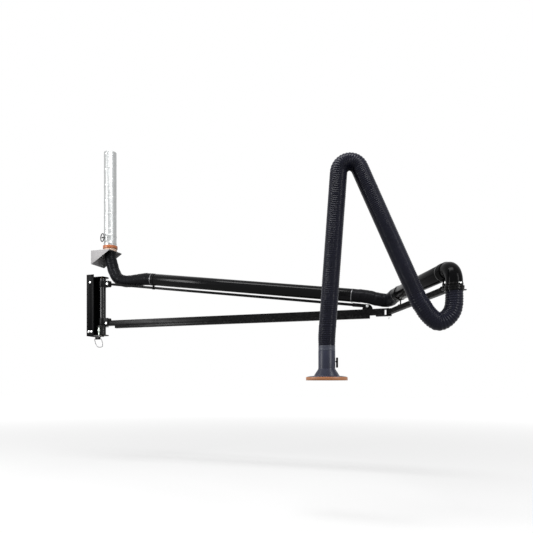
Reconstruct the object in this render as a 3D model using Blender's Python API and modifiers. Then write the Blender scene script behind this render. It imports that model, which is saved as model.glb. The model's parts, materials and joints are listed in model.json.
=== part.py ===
"""Wall-held fume extraction arm on a two-part swinging boom.

Axes: X points out of the wall along the first boom, Y runs along the wall, Z is up.
Origin: the middle of the back face of the wall channel. Lengths are metres.
"""
import math

import bmesh
import bpy
from mathutils import Matrix, Vector

# Clearances shared by every piece
gap = 0.0003
running_gap = 0.0006
cut_overrun = 0.004

# Wall channel and its fixings
channel_height = 0.98
channel_width = 0.20
channel_depth = 0.135
channel_wall = 0.006
anchor_end_inset = 0.13
anchor_spacing = 0.09
anchor_radius = 0.008
anchor_head_radius = 0.015
anchor_head_height = 0.010

# Bearing plates at both ends of the channel, with their side tabs and bolts
post_reach = 0.232
plate_end_inset = 0.046
low_plate_inset = 0.014
plate_thickness = 0.012
tab_thickness = 0.008
tab_height = 0.100
tab_length = 0.100
high_bolt_inset = 0.122
low_bolt_inset = 0.071
side_bolt_radius = 0.006
side_bolt_head_radius = 0.011
side_bolt_head_height = 0.007

# Pivot post and its bushes
post_radius = 0.050
post_shaft_radius = 0.020
shaft_end_height = 0.018
bush_wall = 0.010
bush_flange_width = 0.012
bush_flange_thickness = 0.004
index_ring_radius = 0.096
index_ring_thickness = 0.008
index_ring_height = 0.139
index_hole_count = 8

# Lock pin with its pull ring
lock_circle_radius = 0.075
lock_angle = math.radians(-103)
lock_pin_radius = 0.006
lock_travel = 0.014
lock_nose_reach = 0.001
lock_housing_radius = 0.021
lock_housing_thread_radius = 0.012
lock_housing_thread_length = 0.001
lock_housing_tip_gap = 0.004
pull_block_length = 0.090
pull_block_width = 0.024
pull_block_height = 0.048
pull_block_gap = 0.0155
pull_block_shift = 0.022
ring_wire_radius = 0.005
ring_bore_radius = 0.0057
ring_bar_rise = 0.012
ring_half_width = 0.060
ring_drop = 0.134
ring_skew = 0.040

# Duct console on the wall
console_side = 0.180
console_depth = 0.350
console_width = 0.340
console_height = 0.218
console_rise = 0.412
console_sheet = 0.004
console_rim = 0.012

# Duct, its collar and the damper sleeve
duct_reach = 0.248
duct_radius = 0.099
duct_wall = 0.0015
duct_length = 1.342
duct_seam_height = 0.0015
duct_seam_width = 0.012
duct_seam_count = 2
collar_height = 0.088
collar_band_height = 0.045
collar_band_width = 0.0105
collar_seat_thickness = 0.006
collar_wall = 0.0025
spigot_radius = 0.062
spigot_length = 0.060
sleeve_height = 0.178
sleeve_bead = 0.004
sleeve_bead_rise = 0.036
blade_thickness = 0.002
blade_gap = 0.004
damper_shaft_radius = 0.005
damper_direction = math.radians(240)
damper_shaft_reach = 0.030
damper_shaft_rise = 0.120
hand_ring_radius = 0.062
hand_ring_wire = 0.006

# First boom
boom_length = 4.500
boom_rise = 0.004
boom_tube_height = 0.084
boom_tube_width = 0.060
boom_tube_wall = 0.004
boom_tube_start = 0.064
boom_end_inset = 0.170
rail_start = 0.245
rail_end_inset = 0.256
rail_height = 0.040
rail_wall = 0.003
rail_slot = 0.018

# Clevises on the post
clevis_wall = 0.008
clevis_block_depth = 0.022
clevis_nose = 0.046
clevis_chamfer = 0.012
clevis_pin_radius = 0.008
clevis_head_radius = 0.014
clevis_head_height = 0.008
rod_pin_reach = 0.100
rod_pin_drop = 0.104
rod_clevis_height = 0.098
rod_eye_thickness = 0.040
boom_pin_reach = 0.090
boom_clevis_rise = 0.042

# Tie rod above the boom
rod_radius = 0.019
rod_eye_radius = 0.028
ear_inset = 0.285
ear_pin_rise = 0.045
ear_radius = 0.070
ear_thickness = 0.012
rod_fork_length = 0.110
rod_fork_radius = 0.025
fork_tine_thickness = 0.008
fork_tine_nose = 0.022

# Ducting on the first boom
pipe_radius = 0.090
pipe_wall = 0.0067
pipe_above_rod = 0.128
pipe_start = 0.920
pipe_end_inset = 0.505
stand_inner_inset = 0.022
stand_outer_inset = 0.190
stand_width = 0.030
stand_band = 0.003
stand_web = 0.008
stand_rod_wall = 0.006
stand_grip_width = 0.036
stand_web_width = 0.024

# Outer hinge
hinge_block_length = 0.112
hinge_width = 0.070
hinge_height = 0.102
hinge_cheek = 0.016
hinge_cheek_radius = 0.036
hinge_barrel_radius = 0.034
hinge_pin_radius = 0.013
hinge_head_radius = 0.022
hinge_head_height = 0.005
hinge_tail = 0.040
hinge_nut_radius = 0.017
hinge_nut_height = 0.014

# Second boom
second_angle = math.radians(-65)
second_length = 1.970
second_tube_size = 0.060
second_tube_wall = 0.004
second_end_inset = 0.170
second_pipe_rise = 0.185
second_pipe_start = 0.360
saddle_inset = 0.090
saddle_width = 0.030

# Elbow, swivel and end bracket
elbow_radius = 0.150
elbow_steps = 6
elbow_lead = 0.030
elbow_insert = 0.018
elbow_tail = 0.055
elbow_tube_radius = 0.0825
elbow_wall = 0.003
swivel_ring_height = 0.020
swivel_ring_width = 0.013
clamp_height = 0.018
clamp_band = 0.003
clamp_rise = 0.006
bracket_plate = 0.012
bracket_width = 0.100
bracket_top_gap = 0.040
bracket_arm_width = 0.120
bracket_arm_reach = 0.070

# Extraction arm: joints and hose line in its own upright plane
arm_angle = math.radians(-100)
base_collar_height = 0.026
base_collar_width = 0.012
base_bar_width = 0.022
lug_length = 0.024
lug_width = 0.026
lug_thickness = 0.010
lug_hole_radius = 0.006
bend_radius = 0.152
bend_drop = 0.1434
lower_lean = math.radians(23.6)
upper_lean = math.radians(4.1)
lower_leg = 1.561
upper_leg = 1.6323
peak_radius = 0.1077
base_pivot_back = 0.045
peak_pivot_lean = math.radians(10)
link_radius = 0.0125
link_plate_thickness = 0.008
link_plate_half_width = 0.015
link_plate_gap = 0.0015
link_tube_inset = 0.100
link_tube_overlap = 0.030
joint_pin_radius = 0.006
joint_head_radius = 0.012
joint_head_height = 0.006
friction_disc_radius = 0.021

# Hoses
hose_radius = 0.083
hose_rib_depth = 0.005
hose_bore = 0.0715
hose_straight_run = 0.170
peak_hose_run = 0.240
hood_hose_run = 0.100
wall_hose_radius = 0.095
knuckle_radius = 0.0915
duct_hose_bore = 0.079
knuckle_clearance = 0.010
knuckle_rib_pitch = 0.058
arm_rib_pitch = 0.048

# Hood
hood_drop = 0.0935
hood_collar_height = 0.049
hood_collar_wall = 0.004
hub_radius = 0.015
hub_height = 0.020
hub_drop = 0.105
spoke_width = 0.008
spoke_count = 3
stem_radius = 0.008
stem_flange_radius = 0.013
stem_flange_height = 0.006
neck_radius = 0.084
neck_height = 0.178
flare_radius = 0.134
flare_height = 0.079
shell_wall = 0.0025
rim_radius = 0.206
rim_drop = 0.024
rim_thickness = 0.008
rim_lip = 0.012
hood_shaft_drop = 0.107
hood_lever_reach = 0.026
hood_lever_length = 0.058
hood_lever_width = 0.016
hood_lever_thickness = 0.006

# Facets of round pieces and steps of curved ones
fine_sides = 24
mid_sides = 16
small_sides = 12
bend_steps = 24
bend_curve_steps = 4
bracket_steps = 8
rim_steps = 3

# Places worked out from the sizes above
plate_z = channel_height / 2 - plate_end_inset
low_plate_z = low_plate_inset - channel_height / 2
post_top_z = plate_z - plate_thickness / 2 - bush_flange_thickness - 2 * gap
post_low_z = low_plate_z + plate_thickness / 2 + bush_flange_thickness + 2 * gap
index_ring_z = low_plate_z + index_ring_height
console_top_z = channel_height / 2 + console_rise
rod_pin_z = plate_z - rod_pin_drop
boom_bottom_z = index_ring_z + index_ring_thickness / 2 + boom_rise
boom_top_z = boom_bottom_z + boom_tube_height
boom_middle_z = boom_top_z - boom_tube_height / 2
boom_tube_end = boom_length - boom_end_inset
rail_end = boom_length - rail_end_inset
pipe_end = boom_length - pipe_end_inset
ear_reach = boom_length - ear_inset
ear_pin_z = boom_top_z + ear_pin_rise
rod_slope = (ear_pin_z - rod_pin_z) / (ear_reach - rod_pin_reach)
rod_tilt = math.atan(-rod_slope)
hinge_middle_z = boom_top_z - hinge_height / 2
barrel_height = hinge_height - 2 * hinge_cheek - 2 * gap
second_tube_end = second_length - second_end_inset
second_pipe_z = hinge_middle_z + second_pipe_rise
elbow_end_z = second_pipe_z - elbow_radius
swivel_top_z = elbow_end_z - elbow_tail + swivel_ring_height
base_top_z = elbow_end_z - elbow_tail - gap
hose_top_z = base_top_z - base_collar_height - gap
bend_z = hose_top_z - bend_drop
sleeve_z = console_top_z + collar_height
shaft_z = sleeve_z + damper_shaft_rise
duct_bottom_z = sleeve_z + sleeve_height

lower_way = Vector((math.sin(lower_lean), 0, math.cos(lower_lean)))
upper_way = Vector((math.sin(upper_lean), 0, -math.cos(upper_lean)))
bend_centre = Vector((bend_radius, 0, bend_z))
leg_start = bend_centre + bend_radius * Vector((math.cos(lower_lean), 0, -math.sin(lower_lean)))
leg_end = leg_start + lower_leg * lower_way
peak_centre = leg_end + peak_radius * Vector((math.cos(lower_lean), 0, -math.sin(lower_lean)))
peak_end = peak_centre + peak_radius * Vector((math.cos(upper_lean), 0, math.sin(upper_lean)))
base_pivot = leg_start - base_pivot_back * lower_way
peak_pivot = peak_centre + peak_radius * Vector((math.sin(peak_pivot_lean), 0, math.cos(peak_pivot_lean)))
hood_pivot = peak_end + upper_leg * upper_way

# Colours as red, green, blue, then roughness and metallic
finishes = {
    "black_paint": ((0.012, 0.012, 0.014), 0.32, 0.0),
    "gloss_pipe": ((0.010, 0.010, 0.012), 0.18, 0.0),
    "black_hose": ((0.015, 0.015, 0.020), 0.48, 0.0),
    "zinc": ((0.62, 0.62, 0.60), 0.32, 1.0),
    "galvanised": ((0.72, 0.73, 0.72), 0.38, 1.0),
    "grey_paint": ((0.33, 0.33, 0.34), 0.50, 0.0),
    "orange_paint": ((0.80, 0.22, 0.03), 0.40, 0.0),
    "hood_paint": ((0.050, 0.053, 0.070), 0.35, 0.0),
    "bronze": ((0.55, 0.38, 0.20), 0.40, 1.0),
    "steel": ((0.45, 0.45, 0.46), 0.35, 1.0),
}


def clear_scene():
    for item in list(bpy.context.scene.objects):
        bpy.data.objects.remove(item)


def make_material(name):
    colour, roughness, metallic = finishes[name]
    material = bpy.data.materials.get(name) or bpy.data.materials.new(name)
    material.use_nodes = True
    shader = material.node_tree.nodes["Principled BSDF"]
    shader.inputs["Base Color"].default_value = (*colour, 1)
    shader.inputs["Roughness"].default_value = roughness
    shader.inputs["Metallic"].default_value = metallic
    return material


def make_collection(name):
    collection = bpy.data.collections.new(name)
    bpy.context.scene.collection.children.link(collection)
    return collection


class Frame:
    """An empty on a joint's axis. Its pieces are placed in the axes of its family of pieces.

    A frame with a turn, even of zero, starts a family of its own with its origin at the frame.
    """

    def __init__(self, name, parent=None, point=(0, 0, 0), turn=None):
        self.holder = bpy.data.objects.new(name, None)
        parts.objects.link(self.holder)
        self.origin = Vector((0, 0, 0))
        if parent:
            self.holder.parent = parent.holder
            self.holder.location = Vector(point) - parent.origin
            self.holder.rotation_euler = (0, 0, turn or 0)
            if turn is None:
                self.origin = Vector(point)


def from_bmesh(name, bm):
    bmesh.ops.recalc_face_normals(bm, faces=bm.faces)
    mesh = bpy.data.meshes.new(name)
    bm.to_mesh(mesh)
    bm.free()
    item = bpy.data.objects.new(name, mesh)
    parts.objects.link(item)
    return item


def shade(item):
    item.data.shade_smooth()
    item.data.set_sharp_from_angle(angle=math.radians(35))
    return item


def box(name, size, centre):
    bm = bmesh.new()
    bmesh.ops.create_cube(bm, size=1)
    bmesh.ops.scale(bm, vec=size, verts=bm.verts)
    bmesh.ops.translate(bm, vec=centre, verts=bm.verts)
    return from_bmesh(name, bm)


def rod(name, radius, length, centre, axis=(0, 0, 1), sides=small_sides):
    bm = bmesh.new()
    bmesh.ops.create_cone(bm, cap_ends=True, segments=sides, radius1=radius, radius2=radius, depth=length)
    turn = Vector((0, 0, 1)).rotation_difference(Vector(axis)).to_matrix()
    bmesh.ops.rotate(bm, cent=(0, 0, 0), matrix=turn, verts=bm.verts)
    bmesh.ops.translate(bm, vec=centre, verts=bm.verts)
    return shade(from_bmesh(name, bm))


def bore(name, radius, length, centre, axis=(0, 0, 1), sides=small_sides):
    """A cutter whose flats, not its corners, lie at the radius, so that a round piece passes."""
    return rod(name, radius / math.cos(math.pi / sides), length, centre, axis, sides)


def turned(name, profile, steps, ring=True):
    """A profile of (radius, height) points that runs down its outer side, spun round Z."""
    mesh = bpy.data.meshes.new(name)
    points = [(radius, 0, height) for radius, height in profile]
    edges = [(n, n + 1) for n in range(len(points) - 1)]
    if ring:
        edges.append((len(points) - 1, 0))
    mesh.from_pydata(points, edges, [])
    item = bpy.data.objects.new(name, mesh)
    parts.objects.link(item)
    screw = item.modifiers.new("turn", "SCREW")
    screw.steps = steps
    screw.render_steps = steps
    screw.use_merge_vertices = True
    screw.merge_threshold = 0.0001
    screw.use_smooth_shade = False
    return item


def as_mesh(item):
    """Make a welded mesh object of what a curve or a modified object shows."""
    bpy.context.view_layer.update()
    evaluated = item.evaluated_get(bpy.context.evaluated_depsgraph_get())
    mesh = bpy.data.meshes.new_from_object(evaluated)
    bm = bmesh.new()
    bm.from_mesh(mesh)
    bmesh.ops.remove_doubles(bm, verts=bm.verts, dist=0.00001)
    bmesh.ops.recalc_face_normals(bm, faces=bm.faces)
    bm.to_mesh(mesh)
    bm.free()
    name = item.name
    matrix = item.matrix_world.copy()
    bpy.data.objects.remove(item)
    solid = bpy.data.objects.new(name, mesh)
    solid.matrix_world = matrix
    parts.objects.link(solid)
    return solid


def slab(name, outline, thickness, side=0.0):
    """A flat outline of (x, z) points with its thickness along Y, its middle at the given side."""
    curve = bpy.data.curves.new(name, "CURVE")
    curve.dimensions = "2D"
    curve.fill_mode = "BOTH"
    curve.extrude = thickness / 2
    spline = curve.splines.new("POLY")
    spline.points.add(len(outline) - 1)
    for point, (x, z) in zip(spline.points, outline):
        point.co = (x, z, 0, 1)
    spline.use_cyclic_u = True
    item = bpy.data.objects.new(name, curve)
    parts.objects.link(item)
    item.rotation_euler = (math.radians(90), 0, 0)
    item.location = (0, side, 0)
    solid = as_mesh(item)
    solid.data.transform(solid.matrix_world)
    solid.matrix_world = Matrix.Identity(4)
    return solid


def tube(name, points, radius, shares=None, resolution=2, closed=False):
    """A round bar along points, with a share of the radius at each point."""
    curve = bpy.data.curves.new(name, "CURVE")
    curve.dimensions = "3D"
    curve.bevel_depth = radius
    curve.bevel_resolution = resolution
    curve.use_fill_caps = True
    curve.render_resolution_u = 0
    spline = curve.splines.new("POLY")
    spline.points.add(len(points) - 1)
    for n, (point, place) in enumerate(zip(spline.points, points)):
        point.co = (*place, 1)
        point.radius = shares[n] if shares else 1
    spline.use_cyclic_u = closed
    item = bpy.data.objects.new(name, curve)
    parts.objects.link(item)
    return as_mesh(item)


def as_tool(item):
    parts.objects.unlink(item)
    cutters.objects.link(item)
    item.hide_render = True
    item.display_type = "WIRE"


def combine(item, tools, operation):
    for tool in tools:
        step = item.modifiers.new(operation.lower(), "BOOLEAN")
        step.operation = operation
        step.object = tool
        as_tool(tool)
    return item


def cut(item, *tools):
    return combine(item, tools, "DIFFERENCE")


def join(item, *tools):
    return combine(item, tools, "UNION")


def put(item, frame, finish, point=(0, 0, 0), turn=(0, 0, 0)):
    """Hang an object on a frame, with the tools of its modifiers beside it."""
    item.data.materials.clear()
    item.data.materials.append(make_material(finish))
    for piece in [item] + [step.object for step in item.modifiers if step.type == "BOOLEAN"]:
        piece.parent = frame.holder
        piece.location = Vector(point) - frame.origin
        piece.rotation_euler = turn
    return item


def arc(centre, radius, start, end, steps):
    """Points of an arc in the XZ plane. Angles are from +X towards +Z."""
    sweep = [start + (end - start) * n / steps for n in range(steps + 1)]
    return [Vector(centre) + radius * Vector((math.cos(a), 0, math.sin(a))) for a in sweep]


def smooth(points, steps=12):
    """A smooth curve through the points of a route, whose first and last runs stay straight."""
    points = [Vector(p) for p in points]
    first, last = points[0], points[-1]
    inner = points[1:-1]
    start_way = (inner[0] - first).normalized() * (inner[1] - inner[0]).length
    end_way = (last - inner[-1]).normalized() * (inner[-1] - inner[-2]).length
    ends = [inner[1] - 2 * start_way] + inner + [inner[-2] + 2 * end_way]
    line = [first]
    for before, here, there, after in zip(ends, ends[1:], ends[2:], ends[3:]):
        for n in range(steps):
            u = n / steps
            line.append(
                here
                + (there - before) * (u / 2)
                + (before - here * 5 / 2 + there * 2 - after / 2) * u**2
                + ((here - there) * 3 / 2 + (after - before) / 2) * u**3
            )
    return line + [inner[-1], last]


def spaced(line, count):
    """Points at even steps along a line."""
    lengths = [0.0]
    for here, there in zip(line, line[1:]):
        lengths.append(lengths[-1] + (there - here).length)
    places = []
    for n in range(count + 1):
        target = lengths[-1] * n / count
        i = next((k for k in range(1, len(lengths)) if lengths[k] >= target), len(lengths) - 1)
        step = lengths[i] - lengths[i - 1]
        places.append(line[i - 1].lerp(line[i], (target - lengths[i - 1]) / step if step else 0))
    return places


def line_length(line):
    return sum((there - here).length for here, there in zip(line, line[1:]))


def hose(name, line, pitch, radius=hose_radius, bore_radius=hose_bore):
    """A ribbed hose along a line, with its bore cut through."""
    ribs = max(3, round(line_length(line) / pitch))
    valley_share = 1 - hose_rib_depth / radius
    stations = spaced(line, 2 * ribs)
    shares = [valley_share if n % 2 else 1 for n in range(len(stations))]
    outer = tube(name, stations, radius, shares)
    way_in = (stations[0] - stations[1]).normalized() * cut_overrun
    way_out = (stations[-1] - stations[-2]).normalized() * cut_overrun
    straight = (line[-1] - line[0]).length > line_length(line) * (1 - 1e-6)
    inner = [stations[0], stations[-1]] if straight else stations[::2]
    bore = tube(name + "_bore", [stations[0] + way_in] + inner[1:-1] + [stations[-1] + way_out], bore_radius)
    return cut(outer, bore)


def bolt(name, shank_radius, grip, head_radius, head_height):
    """A bolt along Z with a head above its grip and a nut of the same size below it."""
    head = rod(name, head_radius, head_height, (0, 0, grip / 2 + head_height / 2), sides=6)
    nut = rod(name + "_nut", head_radius, head_height, (0, 0, -grip / 2 - head_height / 2), sides=6)
    shank = rod(name + "_shank", shank_radius, grip + head_height, (0, 0, 0))
    return join(head, shank, nut)


def build_wall_channel():
    outer = box("wall_channel", (channel_depth, channel_width, channel_height), (channel_depth / 2, 0, 0))
    inside = box(
        "channel_inside",
        (channel_depth, channel_width - 2 * channel_wall, channel_height + 2 * cut_overrun),
        (channel_depth / 2 + channel_wall, 0, 0),
    )
    depth = channel_wall + 2 * cut_overrun
    holes = [
        rod("anchor_hole", anchor_radius + gap, depth, (channel_wall / 2, y, z), (1, 0, 0))
        for y, z in anchor_places()
    ]
    bolt_holes = [
        rod("side_hole", side_bolt_radius + gap, channel_width + 2 * cut_overrun, (x, 0, z), (0, 1, 0))
        for x, z in side_bolt_places()
    ]
    put(cut(outer, inside, *holes, *bolt_holes), wall, "black_paint")


def anchor_places():
    high = channel_height / 2 - anchor_end_inset
    return [(y, z) for z in (high, -high) for y in (-anchor_spacing / 2, anchor_spacing / 2)]


def side_bolt_places():
    """The bolts that hold the tabs: one pair high up, two pairs low down."""
    x = channel_depth / 2
    high = channel_height / 2 - high_bolt_inset
    low = low_bolt_inset - channel_height / 2
    return [(x, high), (x - tab_length / 4, low), (x + tab_length / 4, low)]


def plate_level(side):
    return plate_z if side > 0 else low_plate_z


def build_anchor_bolts():
    for n, (y, z) in enumerate(anchor_places(), 1):
        head = rod(
            f"anchor_bolt_{n}",
            anchor_head_radius,
            anchor_head_height,
            (channel_wall + gap + anchor_head_height / 2, 0, 0),
            (1, 0, 0),
            sides=6,
        )
        length = channel_wall + 2 * gap
        shank = rod("anchor_shank", anchor_radius, length, (channel_wall / 2 + gap, 0, 0), (1, 0, 0))
        put(join(head, shank), wall, "zinc", (0, y, z))


def build_bearing_plate(name, side, holes):
    """A plate with a round nose, two tabs and the bolts that hold the tabs to the channel."""
    half = channel_width / 2 - channel_wall - gap
    back = channel_wall + gap
    length = post_reach - back
    level = plate_level(side)
    plate = box(name, (length, 2 * half, plate_thickness), (back + length / 2, 0, level))
    nose = rod("plate_nose", half, plate_thickness, (post_reach, 0, level), sides=fine_sides)
    tools = [nose]
    tab_x = channel_depth / 2
    for y in (-half + tab_thickness / 2, half - tab_thickness / 2):
        size = (tab_length, tab_thickness, tab_height + plate_thickness / 2)
        tools.append(box("plate_tab", size, (tab_x, y, level - side * size[2] / 2)))
    reach = half + channel_wall + 2 * gap
    for x, z in side_bolt_places():
        if z * side > 0:
            for y in (-1, 1):
                shank_length = reach - half + tab_thickness / 2
                place = reach - shank_length / 2
                tools.append(rod("side_shank", side_bolt_radius, shank_length, (x, y * place, z), (0, 1, 0)))
                place = reach + side_bolt_head_height / 2
                centre = (x, y * place, z)
                head = rod("side_head", side_bolt_head_radius, side_bolt_head_height, centre, (0, 1, 0), 6)
                tools.append(head)
    join(plate, *tools)
    for x, y, radius in holes:
        depth = plate_thickness + 2 * cut_overrun
        cut(plate, bore("plate_hole", radius, depth, (x, y, level), sides=fine_sides))
    put(plate, wall, "black_paint")


def build_bush(name, side):
    inner = (post_shaft_radius + gap) / math.cos(math.pi / mid_sides)
    outer = post_shaft_radius + bush_wall
    flange = outer + bush_flange_width
    seat = plate_thickness / 2 + gap
    profile = [(inner, seat + bush_flange_thickness), (flange, seat + bush_flange_thickness), (flange, seat)]
    profile += [(outer, seat), (outer, -plate_thickness / 2), (inner, -plate_thickness / 2)]
    turn = (0, 0, 0) if side < 0 else (math.radians(180), 0, 0)
    put(turned(name, profile, mid_sides), wall, "bronze", (post_reach, 0, plate_level(side)), turn)


def lock_place():
    x = post_reach + lock_circle_radius * math.cos(lock_angle)
    return x, lock_circle_radius * math.sin(lock_angle)


def build_lock():
    x, y = lock_place()
    seat = low_plate_z + plate_thickness / 2 + gap
    tip = index_ring_z - index_ring_thickness / 2 - lock_housing_tip_gap
    bottom = lock_thread_z()
    bore = lock_pin_radius + running_gap
    bulb_shares = (
        (0.38, 0), (0.90, 0.38), (1, 0.52), (0.76, 0.63), (0.57, 0.66), (0.57, 0.96), (0.76, 0.96), (0.76, 1),
    )
    profile = [(bore, tip)]
    profile += [(lock_housing_radius * out, tip + (seat - tip) * down) for out, down in bulb_shares]
    profile += [(lock_housing_thread_radius, seat), (lock_housing_thread_radius, bottom), (bore, bottom)]
    put(turned("lock_housing", profile, mid_sides), wall, "zinc", (x, y, 0))

    nose = index_ring_z + index_ring_thickness / 2 + lock_nose_reach - lock_travel
    bar_z = pull_bar_z()
    block_z = bar_z - ring_bar_rise + pull_block_height / 2
    pin = rod("lock_pin", lock_pin_radius, nose - block_z, (0, 0, (nose + block_z) / 2))
    block_size = (pull_block_length, pull_block_width, pull_block_height)
    block = box("pull_block", block_size, (-pull_block_shift, 0, block_z))
    hole = rod("pull_hole", ring_bore_radius, pull_block_length + 2 * cut_overrun,
               (-pull_block_shift, 0, bar_z), (1, 0, 0))
    put(cut(join(pin, block), hole), lock_slide, "zinc")

    bow_shares = (
        (0.97, 0.02), (1.08, 0.12), (1.10, 0.35), (1.06, 0.60), (0.88, 0.85), (0.50, 0.98), (0, 1),
        (-0.50, 0.98), (-0.88, 0.85), (-1.06, 0.60), (-1.10, 0.35), (-1.08, 0.12), (-0.97, 0.02),
    )
    bar_shares = (-0.9, 0, 0.9)
    loop = [Vector((ring_half_width * across, 0, 0)) for across in bar_shares]
    loop += [
        Vector((ring_half_width * across + ring_skew * down, 0, -ring_drop * down)) for across, down in bow_shares
    ]
    ring = tube("lock_ring", loop, ring_wire_radius, resolution=1, closed=True)
    put(ring, lock_swing, "steel", (x - pull_block_shift, y, bar_z))


def lock_thread_z():
    """The lower end of the thread under the bearing plate."""
    return low_plate_z - plate_thickness / 2 - lock_housing_thread_length


def pull_bar_z():
    return lock_thread_z() - pull_block_gap - pull_block_height + ring_bar_rise


def build_console():
    top_z = console_top_z
    outline = [(0, top_z), (console_depth, top_z), (console_depth, top_z - console_rim)]
    outline += [(console_rim, top_z - console_height), (0, top_z - console_height)]
    console = slab("duct_console", outline, console_width, console_side)
    inside = box(
        "console_inside",
        (console_depth, console_width - 2 * console_sheet, console_height),
        (console_depth / 2 + console_sheet, console_side, top_z - console_sheet - console_height / 2),
    )
    hole = rod("console_hole", spigot_radius + gap, 2 * console_sheet + 2 * cut_overrun,
               (duct_reach, console_side, top_z), sides=fine_sides)
    put(cut(console, inside, hole), wall, "grey_paint")


def build_duct():
    outer = duct_radius + sleeve_bead + collar_wall
    base = console_top_z + gap
    top = console_top_z + collar_height - gap
    low = console_top_z - spigot_length
    band = outer + collar_band_width
    seat = base + collar_seat_thickness
    profile = [(band, top), (band, top - collar_band_height), (outer, top - collar_band_height)]
    profile += [(outer, base), (spigot_radius, base), (spigot_radius, low), (spigot_radius - collar_wall, low)]
    profile += [(spigot_radius - collar_wall, seat), (outer - collar_wall, seat)]
    lip = duct_radius - duct_wall
    profile += [(outer - collar_wall, top - collar_wall), (lip, top - collar_wall), (lip, top)]
    put(turned("duct_collar", profile, fine_sides), wall, "orange_paint", (duct_reach, console_side, 0))

    inner = duct_radius - duct_wall
    low, high = sleeve_z, sleeve_z + sleeve_height - gap
    bead = duct_radius + sleeve_bead
    profile = [(inner, high), (duct_radius, high)]
    for middle in (high - 2 * duct_seam_width, low + sleeve_bead_rise):
        profile += [(duct_radius, middle + duct_seam_width / 2), (bead, middle + duct_seam_width / 2)]
        profile += [(bead, middle - duct_seam_width / 2), (duct_radius, middle - duct_seam_width / 2)]
    profile += [(duct_radius, low), (inner, low)]
    sleeve = turned("damper_sleeve", profile, fine_sides)
    way = Vector((math.cos(damper_direction), math.sin(damper_direction), 0))
    length = 2 * (bead + cut_overrun)
    holes = rod("shaft_hole", damper_shaft_radius + running_gap, length, (0, 0, shaft_z), way)
    put(cut(sleeve, holes), wall, "galvanised", (duct_reach, console_side, 0))

    base = duct_bottom_z
    profile = [(inner, base + duct_length), (duct_radius, base + duct_length)]
    for n in range(duct_seam_count, 0, -1):
        seam = base + duct_length * n / (duct_seam_count + 1)
        profile += [(duct_radius, seam + duct_seam_width / 2), (duct_radius + duct_seam_height, seam)]
        profile += [(duct_radius, seam - duct_seam_width / 2)]
    profile += [(duct_radius, base), (inner, base)]
    put(turned("spiral_duct", profile, fine_sides), wall, "galvanised", (duct_reach, console_side, 0))


def build_damper():
    way = Vector((math.cos(damper_direction), math.sin(damper_direction), 0))
    across = Vector((-way.y, way.x, 0))
    inner = duct_radius - duct_wall - blade_gap
    reach = duct_radius + damper_shaft_reach
    blade = rod("damper_blade", inner, blade_thickness, (0, 0, 0), across, fine_sides)
    middle = way * (reach - duct_radius) / 2
    shaft = rod("damper_shaft", damper_shaft_radius, reach + duct_radius, middle, way)
    put(join(blade, shaft), damper, "steel", (duct_reach, console_side, shaft_z))

    place = way * (reach + gap + hand_ring_wire)
    ring = turned("damper_hand_ring", ring_profile(hand_ring_radius, hand_ring_wire), mid_sides)
    bar = box("ring_bar", (2 * hand_ring_radius, 2 * hand_ring_wire, hand_ring_wire), (0, 0, 0))
    hub = rod("ring_hub", 2 * hand_ring_wire, 2 * hand_ring_wire, (0, 0, 0))
    turn = (math.radians(90), 0, damper_direction + math.radians(90))
    put(join(ring, bar, hub), damper, "steel", Vector((duct_reach, console_side, shaft_z)) + place, turn)


def ring_profile(radius, wire, sides=6):
    """A small circle at a radius, running down its outer side."""
    angles = [math.pi / 2 - 2 * math.pi * n / sides for n in range(sides)]
    return [(radius + wire * math.cos(a), wire * math.sin(a)) for a in angles]


def build_post():
    top = plate_z + plate_thickness / 2 + shaft_end_height
    bottom = low_plate_z - plate_thickness / 2 - shaft_end_height
    ring_top = index_ring_z + index_ring_thickness / 2
    ring_low = index_ring_z - index_ring_thickness / 2
    profile = [(0, top), (post_shaft_radius, top), (post_shaft_radius, post_top_z)]
    profile += [(post_radius, post_top_z), (post_radius, ring_top), (index_ring_radius, ring_top)]
    profile += [(index_ring_radius, ring_low)]
    profile += [(post_radius, ring_low), (post_radius, post_low_z), (post_shaft_radius, post_low_z)]
    profile += [(post_shaft_radius, bottom), (0, bottom)]
    post = turned("pivot_post", profile, fine_sides, ring=False)
    for n in range(index_hole_count):
        a = lock_angle + 2 * math.pi * n / index_hole_count
        place = (lock_circle_radius * math.cos(a), lock_circle_radius * math.sin(a), index_ring_z)
        depth = index_ring_thickness + 2 * cut_overrun
        cut(post, rod("index_hole", lock_pin_radius + 2 * running_gap, depth, place, sides=8))
    put(post, boom, "black_paint")


def build_clevis(name, inner_width, pin_reach, pin_z, low, high):
    """A block that hugs the post and two lugs with a pin through them."""
    width = inner_width + 2 * clevis_wall
    front = post_radius + clevis_block_depth / 2
    back = post_radius - clevis_block_depth / 2
    middle = (low + high) / 2
    block = box(name, (front - back, width, high - low), ((front + back) / 2, 0, middle))
    tools = []
    nose = pin_reach + clevis_nose
    chamfer = clevis_chamfer
    outline = [(front - clevis_wall, high), (nose - chamfer, high), (nose, high - chamfer)]
    outline += [(nose, low + chamfer), (nose - chamfer, low), (front - clevis_wall, low)]
    for y in (-1, 1):
        tools.append(slab("clevis_lug", outline, clevis_wall, y * (inner_width + clevis_wall) / 2))
    collar = rod("clevis_collar", post_radius + clevis_wall, high - low, (0, 0, middle), sides=fine_sides)
    join(block, collar, *tools)
    hug = rod("clevis_hug", post_radius + gap, high - low + 2 * cut_overrun, (0, 0, middle), sides=fine_sides)
    depth = width + 2 * cut_overrun
    hole = rod("clevis_hole", clevis_pin_radius + gap, depth, (pin_reach, 0, pin_z), (0, 1, 0))
    put(cut(block, hug, hole), boom, "black_paint")
    pin = bolt(name + "_bolt", clevis_pin_radius, width + 2 * gap, clevis_head_radius, clevis_head_height)
    put(pin, boom, "zinc", (pin_reach, 0, pin_z), (math.radians(90), 0, 0))


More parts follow.
